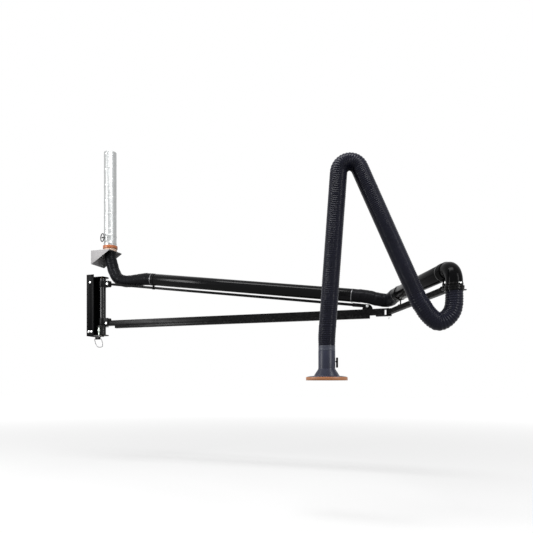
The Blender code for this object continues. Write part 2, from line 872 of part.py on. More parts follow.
def build_clevises():
    half = rod_clevis_height / 2
    build_clevis("upper_clevis", rod_eye_thickness + 2 * gap, rod_pin_reach, rod_pin_z, rod_pin_z - half,
                 rod_pin_z + half)
    low = boom_bottom_z + clevis_wall
    build_clevis("lower_clevis", boom_tube_width + 2 * gap, boom_pin_reach, boom_middle_z, low,
                 boom_top_z + boom_clevis_rise)


def build_boom_tube():
    length = boom_tube_end - boom_tube_start
    middle = (boom_tube_end + boom_tube_start) / 2
    item = box("boom_tube", (length, boom_tube_width, boom_tube_height), (middle, 0, boom_middle_z))
    long = length + 2 * cut_overrun
    hollow = (long, boom_tube_width - 2 * boom_tube_wall, boom_tube_height - 2 * boom_tube_wall)
    inside = box("boom_inside", hollow, (middle, 0, boom_middle_z))
    hole = rod("boom_hole", clevis_pin_radius + gap, boom_tube_width + 2 * cut_overrun,
               (boom_pin_reach, 0, boom_middle_z), (0, 1, 0))
    put(cut(item, inside, hole), boom, "black_paint")

    length = rail_end - rail_start
    middle = (rail_end + rail_start) / 2
    top = boom_bottom_z - gap
    rail = box("trolley_rail", (length, boom_tube_width, rail_height), (middle, 0, top - rail_height / 2))
    long = length + 2 * cut_overrun
    hollow = (long, boom_tube_width - 2 * rail_wall, rail_height - 2 * rail_wall)
    inside = box("rail_inside", hollow, (middle, 0, top - rail_height / 2))
    slot = box("rail_slot", (long, rail_slot, rail_wall + 2 * cut_overrun),
               (middle, 0, top - rail_height + rail_wall / 2))
    put(cut(rail, inside, slot), boom, "black_paint")


def rod_point(reach, rise=0.0):
    """A point on the tie rod's line, or straight above it."""
    return Vector((reach, 0, rod_pin_z + rod_slope * (reach - rod_pin_reach) + rise))


def build_tie_rod():
    way = (rod_point(ear_reach) - rod_point(rod_pin_reach)).normalized()
    start = rod_point(rod_pin_reach)
    end = rod_point(ear_reach) - way * (ear_radius + rod_fork_radius)
    bar = rod("tie_rod", rod_radius, (end - start).length, (start + end) / 2, way)
    eye = rod("rod_eye", rod_eye_radius, rod_eye_thickness, start, (0, 1, 0), mid_sides)
    hole = rod("rod_eye_hole", clevis_pin_radius + gap, rod_eye_thickness + 2 * cut_overrun, start, (0, 1, 0))
    put(cut(join(bar, eye), hole), boom, "black_paint")

    pin = rod_point(ear_reach)
    inner = ear_thickness + 2 * gap
    sleeve_end = pin - way * (ear_radius + rod_fork_radius)
    sleeve_start = pin - way * (ear_radius + rod_fork_length)
    sleeve = rod("tie_rod_fork", rod_fork_radius, (sleeve_end - sleeve_start).length,
                 (sleeve_start + sleeve_end) / 2, way)
    bridge_width = inner + 2 * fork_tine_thickness
    tools = []
    for y in (-1, 1):
        tine = box("fork_tine", (ear_radius + 2 * rod_fork_radius + fork_tine_nose, fork_tine_thickness,
                                 2 * fork_tine_nose), (0, 0, 0))
        tine.data.transform(Matrix.Rotation(rod_tilt, 4, "Y"))
        middle = pin + way * (fork_tine_nose / 2 - ear_radius / 2 - rod_fork_radius)
        middle = middle + Vector((0, y * (inner + fork_tine_thickness) / 2, 0))
        tine.data.transform(Matrix.Translation(middle))
        tools.append(tine)
    deep = pin - way * (ear_radius + rod_fork_radius - gap)
    socket = rod("fork_socket", rod_radius + gap, 2 * rod_fork_length, deep - way * rod_fork_length, way)
    hole = rod("fork_hole", clevis_pin_radius + gap, bridge_width + 2 * cut_overrun, pin, (0, 1, 0))
    put(cut(join(sleeve, *tools), socket, hole), boom, "black_paint")
    grip = bridge_width + 2 * gap
    ear_bolt = bolt("rod_ear_bolt", clevis_pin_radius, grip, clevis_head_radius, clevis_head_height)
    put(ear_bolt, boom, "zinc", pin, (math.radians(90), 0, 0))

    base = boom_top_z + gap
    turns = [math.pi * n / small_sides for n in range(small_sides + 1)]
    outline = [(ear_reach + ear_radius * math.cos(a), base + ear_radius * math.sin(a)) for a in turns]
    ear = slab("rod_ear", outline, ear_thickness)
    hole = rod("ear_hole", clevis_pin_radius + gap, ear_thickness + 2 * cut_overrun, pin, (0, 1, 0))
    put(cut(ear, hole), boom, "black_paint")


def pipe_point(reach):
    return rod_point(reach, pipe_above_rod)


def open_tube(name, radius, wall_thickness, start, end, sides=fine_sides):
    """A straight round tube between two points, open at both ends."""
    way = end - start
    middle = (start + end) / 2
    outer = rod(name, radius, way.length, middle, way, sides)
    bore = rod(name + "_bore", radius - wall_thickness, way.length + 2 * cut_overrun, middle, way, sides)
    return cut(outer, bore)


def build_boom_pipe():
    start, end = pipe_point(pipe_start), pipe_point(pipe_end)
    put(open_tube("duct_pipe", pipe_radius, pipe_wall, start, end), boom, "gloss_pipe")
    places = (("pipe_stand_inner", pipe_start + stand_inner_inset), ("pipe_stand_outer", pipe_end - stand_outer_inset))
    for name, reach in places:
        way = pipe_way()
        up = Vector((-way.z, 0, way.x))
        middle = pipe_point(reach)
        across = pipe_above_rod * math.cos(rod_tilt)
        outer = pipe_radius + gap + stand_band
        band = rod(name, outer, stand_width, middle, way, fine_sides)
        grip_radius = rod_radius + gap + stand_rod_wall
        grip = rod("stand_grip", grip_radius, stand_grip_width, middle - up * across, way, mid_sides)
        web = box("stand_web", (stand_web_width, stand_web, across), (0, 0, 0))
        web.data.transform(Matrix.Rotation(rod_tilt, 4, "Y"))
        web.data.transform(Matrix.Translation(middle - up * across / 2))
        join(band, grip, web)
        long = stand_grip_width + 2 * cut_overrun
        cut(band, rod("stand_bore", pipe_radius + gap, long, middle, way, fine_sides))
        cut(band, rod("stand_rod_bore", rod_radius + gap, long, middle - up * across, way))
        put(band, boom, "black_paint")


def second_point(along, z):
    """A point above the second boom's middle line, in the first boom's axes."""
    return Vector((boom_length + along * math.cos(second_angle), along * math.sin(second_angle), z))


def build_outer_hinge():
    back = boom_tube_end + gap
    front = back + hinge_block_length
    size = (hinge_block_length, hinge_width, hinge_height)
    block = box("boom_end_fork", size, ((back + front) / 2, 0, hinge_middle_z))
    tools = []
    for side in (-1, 1):
        z = hinge_middle_z + side * (hinge_height - hinge_cheek) / 2
        reach = boom_length - front + hinge_cheek
        centre = (front - hinge_cheek + reach / 2, 0, z)
        tools.append(box("hinge_arm", (reach, 2 * hinge_cheek_radius, hinge_cheek), centre))
        tools.append(rod("hinge_eye", hinge_cheek_radius, hinge_cheek, (boom_length, 0, z), sides=fine_sides))
    hole = rod("hinge_hole", hinge_pin_radius + gap, hinge_height + 2 * cut_overrun,
               (boom_length, 0, hinge_middle_z), sides=mid_sides)
    put(cut(join(block, *tools), hole), boom, "black_paint")

    top = hinge_middle_z + hinge_height / 2 + gap
    low = hinge_middle_z - hinge_height / 2 - gap
    profile = [(0, top + hinge_head_height), (hinge_head_radius, top + hinge_head_height)]
    profile += [(hinge_head_radius, top), (hinge_pin_radius, top), (hinge_pin_radius, low)]
    profile += [(hinge_nut_radius, low)]
    profile += [(hinge_nut_radius, low - hinge_nut_height), (hinge_pin_radius / 2, low - hinge_nut_height)]
    profile += [(hinge_pin_radius / 2, low - hinge_tail), (0, low - hinge_tail)]
    put(turned("hinge_pin", profile, mid_sides, ring=False), boom, "zinc", (boom_length, 0, 0))


def knuckle_route():
    """From the end of the first pipe, over the outer hinge, to the start of the second pipe."""
    start = pipe_point(pipe_end)
    way = pipe_way()
    start = start + way * gap
    end = second_point(second_pipe_start - gap, second_pipe_z)
    dip = boom_top_z + knuckle_radius + hinge_head_height + knuckle_clearance
    before_share, rise_share = 0.72, 0.20
    after_share, crown_share = 0.08, 0.85
    entry_share = 0.6
    over = [
        Vector((boom_length - hose_straight_run * before_share, 0, dip + hose_radius * rise_share)),
        second_point(hose_straight_run * after_share, dip + hose_rib_depth * crown_share),
    ]
    into = second_point(second_pipe_start - gap - hose_straight_run * entry_share, second_pipe_z)
    return smooth([start, start + way * hose_straight_run, *over, into, end])


def build_knuckle_hose():
    put(hose("knuckle_hose", knuckle_route(), knuckle_rib_pitch, knuckle_radius, duct_hose_bore), boom, "black_hose")


def wall_route():
    """From under the console, beside the tie rod, to the start of the first pipe."""
    start = Vector((duct_reach, console_side, console_top_z - console_sheet - gap))
    end = Vector((post_reach, 0, 0)) + pipe_point(pipe_start) - pipe_way() * gap
    fall = start.z - end.z
    reach = end.x - start.x
    side = start.y
    drop_shares = (
        (0, 1, 0.115), (0.037, 0.989, 0.363), (0.090, 0.956, 0.613), (0.185, 0.861, 0.828),
        (0.338, 0.694, 0.938), (0.506, 0.500, 0.966), (0.676, 0.278, 0.967),
    )
    entry_share = 0.5
    route = [start]
    for along, across, down in drop_shares:
        route.append(Vector((start.x + reach * along, side * across, start.z - fall * down)))
    return smooth(route + [end - pipe_way() * hose_straight_run * entry_share, end])


def pipe_way():
    return (pipe_point(pipe_end) - pipe_point(pipe_start)).normalized()


def build_wall_hose():
    put(hose("wall_hose", wall_route(), knuckle_rib_pitch, wall_hose_radius, duct_hose_bore), wall, "black_hose")


def build_second_boom():
    size = second_tube_size
    low_reach = hinge_barrel_radius / 2
    length = second_tube_end - low_reach
    middle = (second_tube_end + low_reach) / 2
    item = box("second_boom_tube", (length, size, size), (middle, 0, hinge_middle_z))
    barrel = rod("hinge_barrel", hinge_barrel_radius, barrel_height, (0, 0, hinge_middle_z), sides=fine_sides)
    hollow_start = hinge_barrel_radius + second_tube_wall
    hollow_end = second_tube_end + cut_overrun
    inner = size - 2 * second_tube_wall
    inside = box("second_inside", (hollow_end - hollow_start, inner, inner),
                 ((hollow_end + hollow_start) / 2, 0, hinge_middle_z))
    hole = rod("barrel_hole", hinge_pin_radius + running_gap, hinge_height, (0, 0, hinge_middle_z),
               sides=mid_sides)
    put(cut(join(item, barrel), inside, hole), second, "black_paint")

    start = Vector((second_pipe_start, 0, second_pipe_z))
    end = Vector((second_length - elbow_radius - elbow_lead + elbow_insert, 0, second_pipe_z))
    put(open_tube("second_pipe", pipe_radius, pipe_wall, start, end), second, "gloss_pipe")
    seat = hinge_middle_z + size / 2 + gap
    places = (("pipe_saddle_inner", start.x + saddle_inset), ("pipe_saddle_outer", end.x - saddle_inset))
    for name, along in places:
        outer = pipe_radius + gap + stand_band
        band = rod(name, outer, saddle_width, (along, 0, second_pipe_z), (1, 0, 0), fine_sides)
        web = box("saddle_web", (saddle_width, stand_web, second_pipe_z - seat),
                  (along, 0, (second_pipe_z + seat) / 2))
        foot = box("saddle_foot", (saddle_width, size, stand_web), (along, 0, seat + stand_web / 2))
        depth = saddle_width + 2 * cut_overrun
        bore = rod("saddle_bore", pipe_radius + gap, depth, (along, 0, second_pipe_z), (1, 0, 0), fine_sides)
        put(cut(join(band, web, foot), bore), second, "black_paint")


def build_elbow():
    start = second_length - elbow_radius
    bend = arc((start, 0, elbow_end_z), elbow_radius, math.radians(90), 0, elbow_steps)
    tail = Vector((second_length, 0, elbow_end_z - elbow_tail))
    mouth = bend[0] - Vector((elbow_lead, 0, 0))
    over = Vector((cut_overrun, 0, 0))
    drop = Vector((0, 0, cut_overrun))
    outer = tube("elbow_duct", [mouth, *bend, tail], elbow_tube_radius, resolution=4)
    bore = tube("elbow_bore", [mouth - over, *bend, tail - drop], elbow_tube_radius - elbow_wall, resolution=4)
    put(cut(outer, bore), second, "gloss_pipe")

    inner = elbow_tube_radius + gap
    high = elbow_end_z - clamp_rise
    profile = band_profile(inner, inner + clamp_band, high, high - clamp_height)
    put(turned("elbow_clamp", profile, fine_sides), second, "zinc", (second_length, 0, 0))
    profile = band_profile(inner, inner + swivel_ring_width, swivel_top_z, swivel_top_z - swivel_ring_height)
    put(turned("swivel_ring", profile, fine_sides), second, "black_paint", (second_length, 0, 0))


def band_profile(inner, outer, high, low):
    return [(inner, high), (outer, high), (outer, low), (inner, low)]


def build_end_bracket():
    back = second_tube_end + gap
    high = second_pipe_z - pipe_radius - bracket_top_gap
    low = swivel_top_z - swivel_ring_height
    plate = box("end_bracket", (bracket_plate, bracket_width, high - low),
                (back + bracket_plate / 2, 0, (high + low) / 2))
    arm = box("bracket_arm", (bracket_arm_reach, bracket_arm_width, swivel_ring_height),
              (back + bracket_arm_reach / 2, 0, low + swivel_ring_height / 2))
    seat = elbow_tube_radius + gap + swivel_ring_width + gap
    hug = rod("bracket_hug", seat, swivel_ring_height + 2 * cut_overrun,
              (second_length, 0, low + swivel_ring_height / 2), sides=fine_sides)
    put(cut(join(plate, arm), hug), second, "black_paint")


def build_arm_base():
    outer = elbow_tube_radius + base_collar_width
    low = base_top_z - base_collar_height
    ring = turned("base_collar", band_profile(hose_bore, outer, base_top_z, low), fine_sides)
    bar = box("collar_bar", (base_bar_width, 2 * hose_bore + base_collar_width, base_collar_height / 2),
              (0, 0, low + base_collar_height / 4))
    lug_middle = -(outer + lug_length / 2 - base_collar_width / 4)
    lug_z = low + lug_thickness
    lug = box("collar_lug", (lug_length, lug_width, lug_thickness), (lug_middle, 0, lug_z))
    hole_place = (lug_middle - lug_length / 8, 0, lug_z)
    hole = rod("lug_hole", lug_hole_radius, lug_thickness + 2 * cut_overrun, hole_place)
    put(cut(join(ring, bar, lug), hole), arm, "black_paint")

    top = hose_top_z
    half = link_plate_half_width
    stop = math.atan2(base_pivot.z - bend_z, base_pivot.x - bend_radius)
    stop_out = stop if stop > 0 else stop + 2 * math.pi
    outside = arc(bend_centre, bend_radius + half, math.pi, stop_out, bracket_steps)
    inside = arc(bend_centre, bend_radius - half, math.pi, stop_out, bracket_steps)
    outline = [(-half, top)] + [(p.x, p.z) for p in outside]
    outline += [(p.x, p.z) for p in reversed(inside)] + [(half, top)]
    side = -(link_plate_gap + link_plate_thickness / 2)
    bar = slab("base_bracket", outline, link_plate_thickness, side)
    place = base_pivot + Vector((0, side, 0))
    eye = rod("bracket_eye", half, link_plate_thickness, place, (0, 1, 0), mid_sides)
    depth = link_plate_thickness + 2 * cut_overrun
    hole = rod("bracket_hole", joint_pin_radius + gap, depth, place, (0, 1, 0))
    put(cut(join(bar, eye), hole), arm, "steel")


def base_route():
    """Down from the collar, around a bend that is deeper than an arc, into the lower leg."""
    bend_shares = (
        (-1, 0.50), (-0.985, 0.135), (-0.957, -0.045), (-0.908, -0.255), (-0.803, -0.487), (-0.625, -0.711),
        (-0.355, -0.930), (0, -1.026), (0.316, -0.855), (0.566, -0.618), (0.789, -0.349), (0.985, -0.033),
    )
    leg_share = 0.75
    route = [Vector((0, 0, hose_top_z - gap))]
    route += [bend_centre + bend_radius * Vector((across, 0, up)) for across, up in bend_shares]
    route += [leg_start + lower_way * hose_straight_run * share for share in (leg_share, 1)]
    return smooth(route, bend_curve_steps)


def peak_route():
    start = leg_end - lower_way * peak_hose_run + lower_way * gap
    first = math.pi - lower_lean
    crown = arc(peak_centre, peak_radius, first, upper_lean, bend_steps)
    return [start, *crown, peak_end + upper_way * peak_hose_run]


def build_arm_hoses():
    put(hose("base_hose", base_route(), arm_rib_pitch), arm, "black_hose")
    start = leg_start + lower_way * (hose_straight_run + gap)
    end = leg_end - lower_way * peak_hose_run
    put(hose("lower_hose", [start, end], arm_rib_pitch), lower, "black_hose")
    put(hose("peak_hose", peak_route(), arm_rib_pitch), lower, "black_hose")
    start = peak_end + upper_way * (peak_hose_run + gap)
    end = hood_pivot - upper_way * hood_hose_run
    put(hose("upper_hose", [start, end], arm_rib_pitch), upper, "black_hose")
    bottom = Vector((hood_pivot.x, 0, hood_pivot.z - hood_drop + gap))
    start = end + upper_way * gap
    way = bottom - start
    route = [start, start + upper_way * (way.length / 3), bottom + Vector((0, 0, way.length / 3)), bottom]
    put(hose("hood_hose", smooth(route), arm_rib_pitch), upper, "black_hose")


def link(name, frame, start, end, low_pivot, high_pivot, low_side, high_side):
    """A round tube with a flat end plate at each joint."""
    way = (end - start).normalized()
    item = rod(name, link_radius, (end - start).length, (start + end) / 2, way)
    holes = []
    pieces = []
    ends = ((start, way, low_pivot, low_side), (end, -way, high_pivot, high_side))
    for tube_end, inward, pivot, side in ends:
        root = tube_end + inward * link_tube_overlap
        along = (pivot - root).normalized()
        half = along.cross(Vector((0, 1, 0))) * link_plate_half_width
        corners = [root + half, pivot + half, pivot - half, root - half]
        y = side * (link_plate_gap + link_plate_thickness / 2)
        pieces.append(slab(name + "_plate", [(p.x, p.z) for p in corners], link_plate_thickness, y))
        place = pivot + Vector((0, y, 0))
        eye = rod(name + "_eye", link_plate_half_width, link_plate_thickness, place, (0, 1, 0), mid_sides)
        pieces.append(eye)
        depth = link_plate_thickness + 2 * cut_overrun
        holes.append(rod(name + "_hole", joint_pin_radius + gap, depth, place, (0, 1, 0)))
    put(cut(join(item, *pieces), *holes), frame, "steel")


def build_links():
    start = leg_start + lower_way * link_tube_inset
    end = leg_end - lower_way * (link_tube_inset / 2)
    link("lower_link", lower, start, end, base_pivot, peak_pivot, 1, 1)
    start = peak_end + upper_way * (link_tube_inset / 2)
    end = hood_pivot - upper_way * link_tube_inset
    link("upper_link", upper, start, end, peak_pivot, hood_pivot, -1, 1)


def joint_pin_profile():
    """Half of a pin along Z with two heads and a friction disc between the plates."""
    grip = link_plate_gap + link_plate_thickness + gap
    top = grip + joint_head_height
    half_disc = link_plate_gap - gap
    profile = [(0, top), (joint_head_radius, top), (joint_head_radius, grip), (joint_pin_radius, grip)]
    profile += [(joint_pin_radius, half_disc), (friction_disc_radius, half_disc)]
    profile += [(friction_disc_radius, -half_disc), (joint_pin_radius, -half_disc)]
    profile += [(joint_pin_radius, -grip), (joint_head_radius, -grip), (joint_head_radius, -top), (0, -top)]
    return profile


def build_joint_pins():
    turn = (math.radians(90), 0, 0)
    put(turned("base_pin", joint_pin_profile(), small_sides, ring=False), lower, "zinc", base_pivot, turn)
    put(turned("middle_pin", joint_pin_profile(), small_sides, ring=False), lower, "zinc", peak_pivot, turn)


def build_yoke():
    side = -(link_plate_gap + link_plate_thickness / 2)
    half = link_plate_half_width
    hub_top = hood_pivot.z - hub_drop + hub_height / 2
    flange_low = hub_top + gap
    flange_top = flange_low + stem_flange_height
    nut_top = hub_top - hub_height - gap
    nut_low = nut_top - stem_flange_height
    stem_top = (hood_pivot.z + flange_top) / 2
    profile = [(0, stem_top), (stem_radius, stem_top), (stem_radius, flange_top)]
    profile += [(stem_flange_radius, flange_top), (stem_flange_radius, flange_low)]
    profile += [(stem_radius, flange_low), (stem_radius, nut_top)]
    profile += [(stem_flange_radius, nut_top), (stem_flange_radius, nut_low), (0, nut_low)]
    stem = turned("hood_yoke", profile, small_sides, ring=False)
    plate_low = flange_top + stem_flange_height
    plate = box("yoke_plate", (2 * half, link_plate_thickness, hood_pivot.z - plate_low),
                (0, side, (hood_pivot.z + plate_low) / 2))
    eye = rod("yoke_eye", half, link_plate_thickness, (0, side, hood_pivot.z), (0, 1, 0), mid_sides)
    grip = link_plate_gap + link_plate_thickness + gap
    pin = rod("yoke_pin", joint_pin_radius, grip - side, (0, (grip + side) / 2, hood_pivot.z), (0, 1, 0))
    place = (0, grip + joint_head_height / 2, hood_pivot.z)
    head = rod("yoke_head", joint_head_radius, joint_head_height, place, (0, 1, 0))
    put(join(stem, plate, eye, pin, head), yoke, "steel", (hood_pivot.x, 0, 0))


def build_hood():
    axis = Vector((hood_pivot.x, 0, 0))
    top = hood_pivot.z - hood_drop
    low = top - hood_collar_height
    outer = hose_radius
    ring = turned("hood_collar", band_profile(outer - hood_collar_wall, outer, top, low), fine_sides)
    hub_z = hood_pivot.z - hub_drop
    hub = rod("collar_hub", hub_radius, hub_height, (0, 0, hub_z), sides=mid_sides)
    spokes = []
    for n in range(spoke_count):
        spoke = box("collar_spoke", (outer - hood_collar_wall / 2, spoke_width, spoke_width),
                    ((outer - hood_collar_wall / 2) / 2, 0, hub_z))
        spoke.data.transform(Matrix.Rotation(2 * math.pi * n / spoke_count, 4, "Z"))
        spokes.append(spoke)
    hole = rod("hub_hole", stem_radius + running_gap, hub_height + 2 * cut_overrun, (0, 0, hub_z))
    put(cut(join(ring, hub, *spokes), hole), hood, "hood_paint", axis)

    neck_top = low - gap
    neck_low = neck_top - neck_height
    mouth = neck_low - flare_height
    outside = [(neck_radius, neck_top), (neck_radius, neck_low), (flare_radius, mouth)]
    profile = outside + [(r - shell_wall, z) for r, z in reversed(outside)]
    shell = turned("hood_shell", profile, fine_sides)
    shaft = hood_shaft_z()
    length = 2 * (neck_radius + cut_overrun)
    holes = rod("neck_holes", damper_shaft_radius + running_gap, length, (0, 0, shaft), (1, 0, 0))
    put(cut(shell, holes), hood, "hood_paint", axis)

    inner = flare_radius + gap
    high = mouth + rim_thickness
    width = rim_radius - inner
    shares = [n / rim_steps for n in range(rim_steps + 1)]
    upper_side = [(inner + width * share, high - rim_drop * share**2) for share in shares]
    edge_low = high - rim_drop - rim_lip - rim_thickness
    lower_side = [(r, z - rim_thickness) for r, z in upper_side[:-1]]
    profile = upper_side + [(rim_radius, edge_low), (rim_radius - rim_thickness / 2, edge_low)]
    profile += [(rim_radius - rim_thickness / 2, high - rim_drop - rim_thickness)] + lower_side[::-1]
    put(turned("hood_rim", profile, fine_sides), hood, "orange_paint", axis)

    blade_radius = neck_radius - shell_wall - blade_gap
    blade = rod("hood_damper", blade_radius, blade_thickness, (0, 0, 0), (0, 1, 0), fine_sides)
    out = neck_radius + hood_lever_reach
    rod_length = out + neck_radius
    spindle = rod("blade_shaft", damper_shaft_radius, rod_length, ((neck_radius - out) / 2, 0, 0), (1, 0, 0))
    lever = box("blade_lever", (hood_lever_thickness, hood_lever_width, hood_lever_length),
                (-out + hood_lever_thickness / 2, 0, -hood_lever_length / 2 + hood_lever_width / 2))
    put(join(blade, spindle, lever), flap, "steel", axis + Vector((0, 0, shaft)))


def hood_shaft_z():
    return hood_pivot.z - hood_drop - hood_collar_height - gap - hood_shaft_drop


clear_scene()
parts = make_collection("fume_extraction_arm")
cutters = make_collection("cutters")

wall = Frame("wall_frame")
lock_x, lock_y = lock_place()
lock_slide = Frame("lock_slide_axis", wall, (lock_x, lock_y, 0), 0.0)
lock_swing = Frame("lock_swing_axis", wall, (lock_x, lock_y, pull_bar_z()))
damper = Frame("damper_axis", wall, (duct_reach, console_side, shaft_z))
boom = Frame("boom_axis", wall, (post_reach, 0, 0), 0.0)
second = Frame("second_boom_axis", boom, (boom_length, 0, 0), second_angle)
arm = Frame("arm_axis", second, (second_length, 0, 0), arm_angle)
lower = Frame("lower_arm_axis", arm, base_pivot)
upper = Frame("upper_arm_axis", lower, peak_pivot)
yoke = Frame("hood_tilt_axis", upper, hood_pivot)
hood = Frame("hood_swivel_axis", yoke, (hood_pivot.x, 0, hood_pivot.z - hub_drop))
flap = Frame("hood_damper_axis", hood, (hood_pivot.x, 0, hood_shaft_z()))

build_wall_channel()
build_anchor_bolts()
build_bearing_plate("upper_bearing_plate", 1, [(post_reach, 0, post_shaft_radius + bush_wall + gap)])
build_bearing_plate(
    "lower_bearing_plate",
    -1,
    [
        (post_reach, 0, post_shaft_radius + bush_wall + gap),
        (lock_x, lock_y, lock_housing_thread_radius + gap),
    ],
)
build_bush("upper_bush", 1)
build_bush("lower_bush", -1)
build_lock()
build_console()
build_duct()
build_damper()
build_wall_hose()
build_post()
build_clevises()
build_boom_tube()
build_tie_rod()
build_boom_pipe()
build_outer_hinge()
build_knuckle_hose()
build_second_boom()
build_elbow()
build_end_bracket()
build_arm_base()
build_arm_hoses()
build_links()
build_joint_pins()
build_yoke()
build_hood()
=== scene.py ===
import json
import math

import bpy
from mathutils import Matrix, Vector


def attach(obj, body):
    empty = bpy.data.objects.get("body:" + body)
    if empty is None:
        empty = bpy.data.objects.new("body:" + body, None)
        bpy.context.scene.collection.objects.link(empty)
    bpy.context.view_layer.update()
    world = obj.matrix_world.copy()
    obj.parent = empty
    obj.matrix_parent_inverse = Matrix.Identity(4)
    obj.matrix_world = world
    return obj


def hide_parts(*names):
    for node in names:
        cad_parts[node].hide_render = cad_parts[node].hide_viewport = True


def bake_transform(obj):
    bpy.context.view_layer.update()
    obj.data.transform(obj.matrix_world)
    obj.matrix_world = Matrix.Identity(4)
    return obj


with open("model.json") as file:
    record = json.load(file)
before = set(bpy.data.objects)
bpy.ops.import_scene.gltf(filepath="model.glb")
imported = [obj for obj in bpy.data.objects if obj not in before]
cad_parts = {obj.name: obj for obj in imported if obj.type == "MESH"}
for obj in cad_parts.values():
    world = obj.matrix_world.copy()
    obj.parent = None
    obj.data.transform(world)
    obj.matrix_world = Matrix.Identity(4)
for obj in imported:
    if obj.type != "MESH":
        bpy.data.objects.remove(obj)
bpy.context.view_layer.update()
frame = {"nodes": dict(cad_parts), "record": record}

# Wall-held fume extraction arm on a swinging boom in two lengths. Lengths are metres. X points out of
# the wall along the first boom, Y runs along the wall and Z is up.

# Clearance between pieces, the reach of a weld, and the sides of round pieces
gap, weld_distance = 0.0003, 0.00001
finest, fine, medium, small = 128, 96, 48, 24
quarter_turn, full_turn = math.pi / 2, 2 * math.pi
turned_over = Matrix.Rotation(math.pi, 4, "X")
body_of = {node: body for body, nodes in frame["record"]["behaviour"]["bodies"].items() for node in nodes}

# Where the families of pieces have their own axes
hinge_reach, elbow_reach = 4.732, 1.970
post = Vector((0.232, 0, 0))
hinge_place = Matrix.Translation((hinge_reach, 0, 0))
outer_hinge = hinge_place @ Matrix.Rotation(math.radians(-65), 4, "Z")
elbow_line = outer_hinge @ Matrix.Translation((elbow_reach, 0, 0))
arm_plane = elbow_line @ Matrix.Rotation(math.radians(-100), 4, "Z")
duct_x, duct_y = 0.248, 0.180
duct_place = Matrix.Translation((duct_x, duct_y, 0))

# Hose and pipe sizes. The cloth of the arm's hoses stands a little proud of the CAD's smooth ones.
hose_radius, hose_wall, proud = 0.083, 0.0030, 0.0042
wall_hose_radius, hinge_hose_radius = 0.095, 0.0915
pipe_radius, pipe_wall = 0.090, 0.0067
elbow_radius, second_pipe_z = 0.0825, -0.111

# Tie rod, and the first pipe straight above it
rod_start, rod_end = Vector((0.332, 0, 0.340)), Vector((4.447, 0, -0.200))
rod_way = (rod_end - rod_start).normalized()
rod_offset, rod_reach, pipe_rise = 0.100, 4.115, 0.128


def pipe_point(reach):
    """A point of the first pipe's line, at a distance out from the post."""
    return rod_start.lerp(rod_end, (reach - rod_offset) / rod_reach) + Vector((0, 0, pipe_rise))


pipe_start, pipe_end = pipe_point(0.920), pipe_point(3.995)
pipe_way = (pipe_end - pipe_start).normalized()

# Points of the arm in its own upright plane, as (out, 0, up)
lower_lean, upper_lean = math.radians(23.6), math.radians(4.1)
lower_way = Vector((math.sin(lower_lean), 0, math.cos(lower_lean)))
upper_way = Vector((math.sin(upper_lean), 0, -math.cos(upper_lean)))
bend_centre, bend_radius = Vector((0.152, 0, -0.486)), 0.152
peak_radius = 0.1077
leg_start = bend_centre + bend_radius * Vector((math.cos(lower_lean), 0, -math.sin(lower_lean)))
leg_end = leg_start + 1.561 * lower_way
peak_centre = leg_end + peak_radius * Vector((math.cos(lower_lean), 0, -math.sin(lower_lean)))
peak_end = peak_centre + peak_radius * Vector((math.cos(upper_lean), 0, math.sin(upper_lean)))
hood_pivot = peak_end + 1.6323 * upper_way

# How far the bent hoses run along the straight ones beside them
base_run, peak_run, neck_run = 0.170, 0.240, 0.100

# Levels of the hood, down from the top of its ring
hood_place = arm_plane @ Matrix.Translation((hood_pivot.x, 0, 0))
ring_top = -0.8735
ring_low = ring_top - 0.049
neck_top = ring_low - gap
neck_low = neck_top - 0.178
mouth = neck_low - 0.079


# Handling of pieces

def let_go():
    """Leave edit mode with nothing selected."""
    if bpy.context.object and bpy.context.object.mode != "OBJECT":
        bpy.ops.object.mode_set(mode="OBJECT")
    bpy.ops.object.select_all(action="DESELECT")


def hold(piece):
    """Select one piece alone."""
    let_go()
    piece.select_set(True)
    bpy.context.view_layer.objects.active = piece
    return piece


def edit(piece, what="VERT", select="SELECT"):
    hold(piece)
    bpy.ops.object.mode_set(mode="EDIT")
    bpy.ops.mesh.select_mode(type=what)
    bpy.ops.mesh.select_all(action=select)


def pick_faces(piece, wanted):
    """Select the faces whose centre and normal the test wants, in edit mode."""
    edit(piece, "FACE", "DESELECT")
    bpy.ops.object.mode_set(mode="OBJECT")
    for face in piece.data.polygons:
        face.select = bool(wanted(face.center, face.normal))
    bpy.ops.object.mode_set(mode="EDIT")


def weld(piece):
    """Close a piece's seams and turn its faces outwards."""
    edit(piece)
    bpy.ops.mesh.remove_doubles(threshold=weld_distance)
    bpy.ops.mesh.normals_make_consistent(inside=False)
    bpy.ops.object.mode_set(mode="OBJECT")


def apply_all(piece):
    hold(piece)
    for step in list(piece.modifiers):
        bpy.ops.object.modifier_apply(modifier=step.name)


def soften(piece, width, segments=2, angle=40):
    step = piece.modifiers.new("softened edges", "BEVEL")
    step.width = width
    step.segments = segments
    step.limit_method = "ANGLE"
    step.angle_limit = math.radians(angle)
    apply_all(piece)
    return piece


def smooth_faces(piece, angle=35):
    hold(piece)
    bpy.ops.object.shade_smooth_by_angle(angle=math.radians(angle))
    return piece


def lay(piece, matrix):
    """Put a piece made at the origin in its place, with the place in its mesh."""
    hold(piece)
    piece.matrix_world = matrix @ piece.matrix_world
    bpy.ops.object.transform_apply(location=True, rotation=True, scale=True)
    return piece


def aim(way, at):
    """The matrix that turns Z into a direction and moves the origin to a point."""
    turn = Vector((0, 0, 1)).rotation_difference(Vector(way)).to_matrix().to_4x4()
    return Matrix.Translation(Vector(at)) @ turn


def thicken(piece, thickness):
    """Give a sheet its wall, inwards from its outer face."""
    wall = piece.modifiers.new("wall", "SOLIDIFY")
    wall.thickness = thickness
    wall.offset = -1
    apply_all(piece)


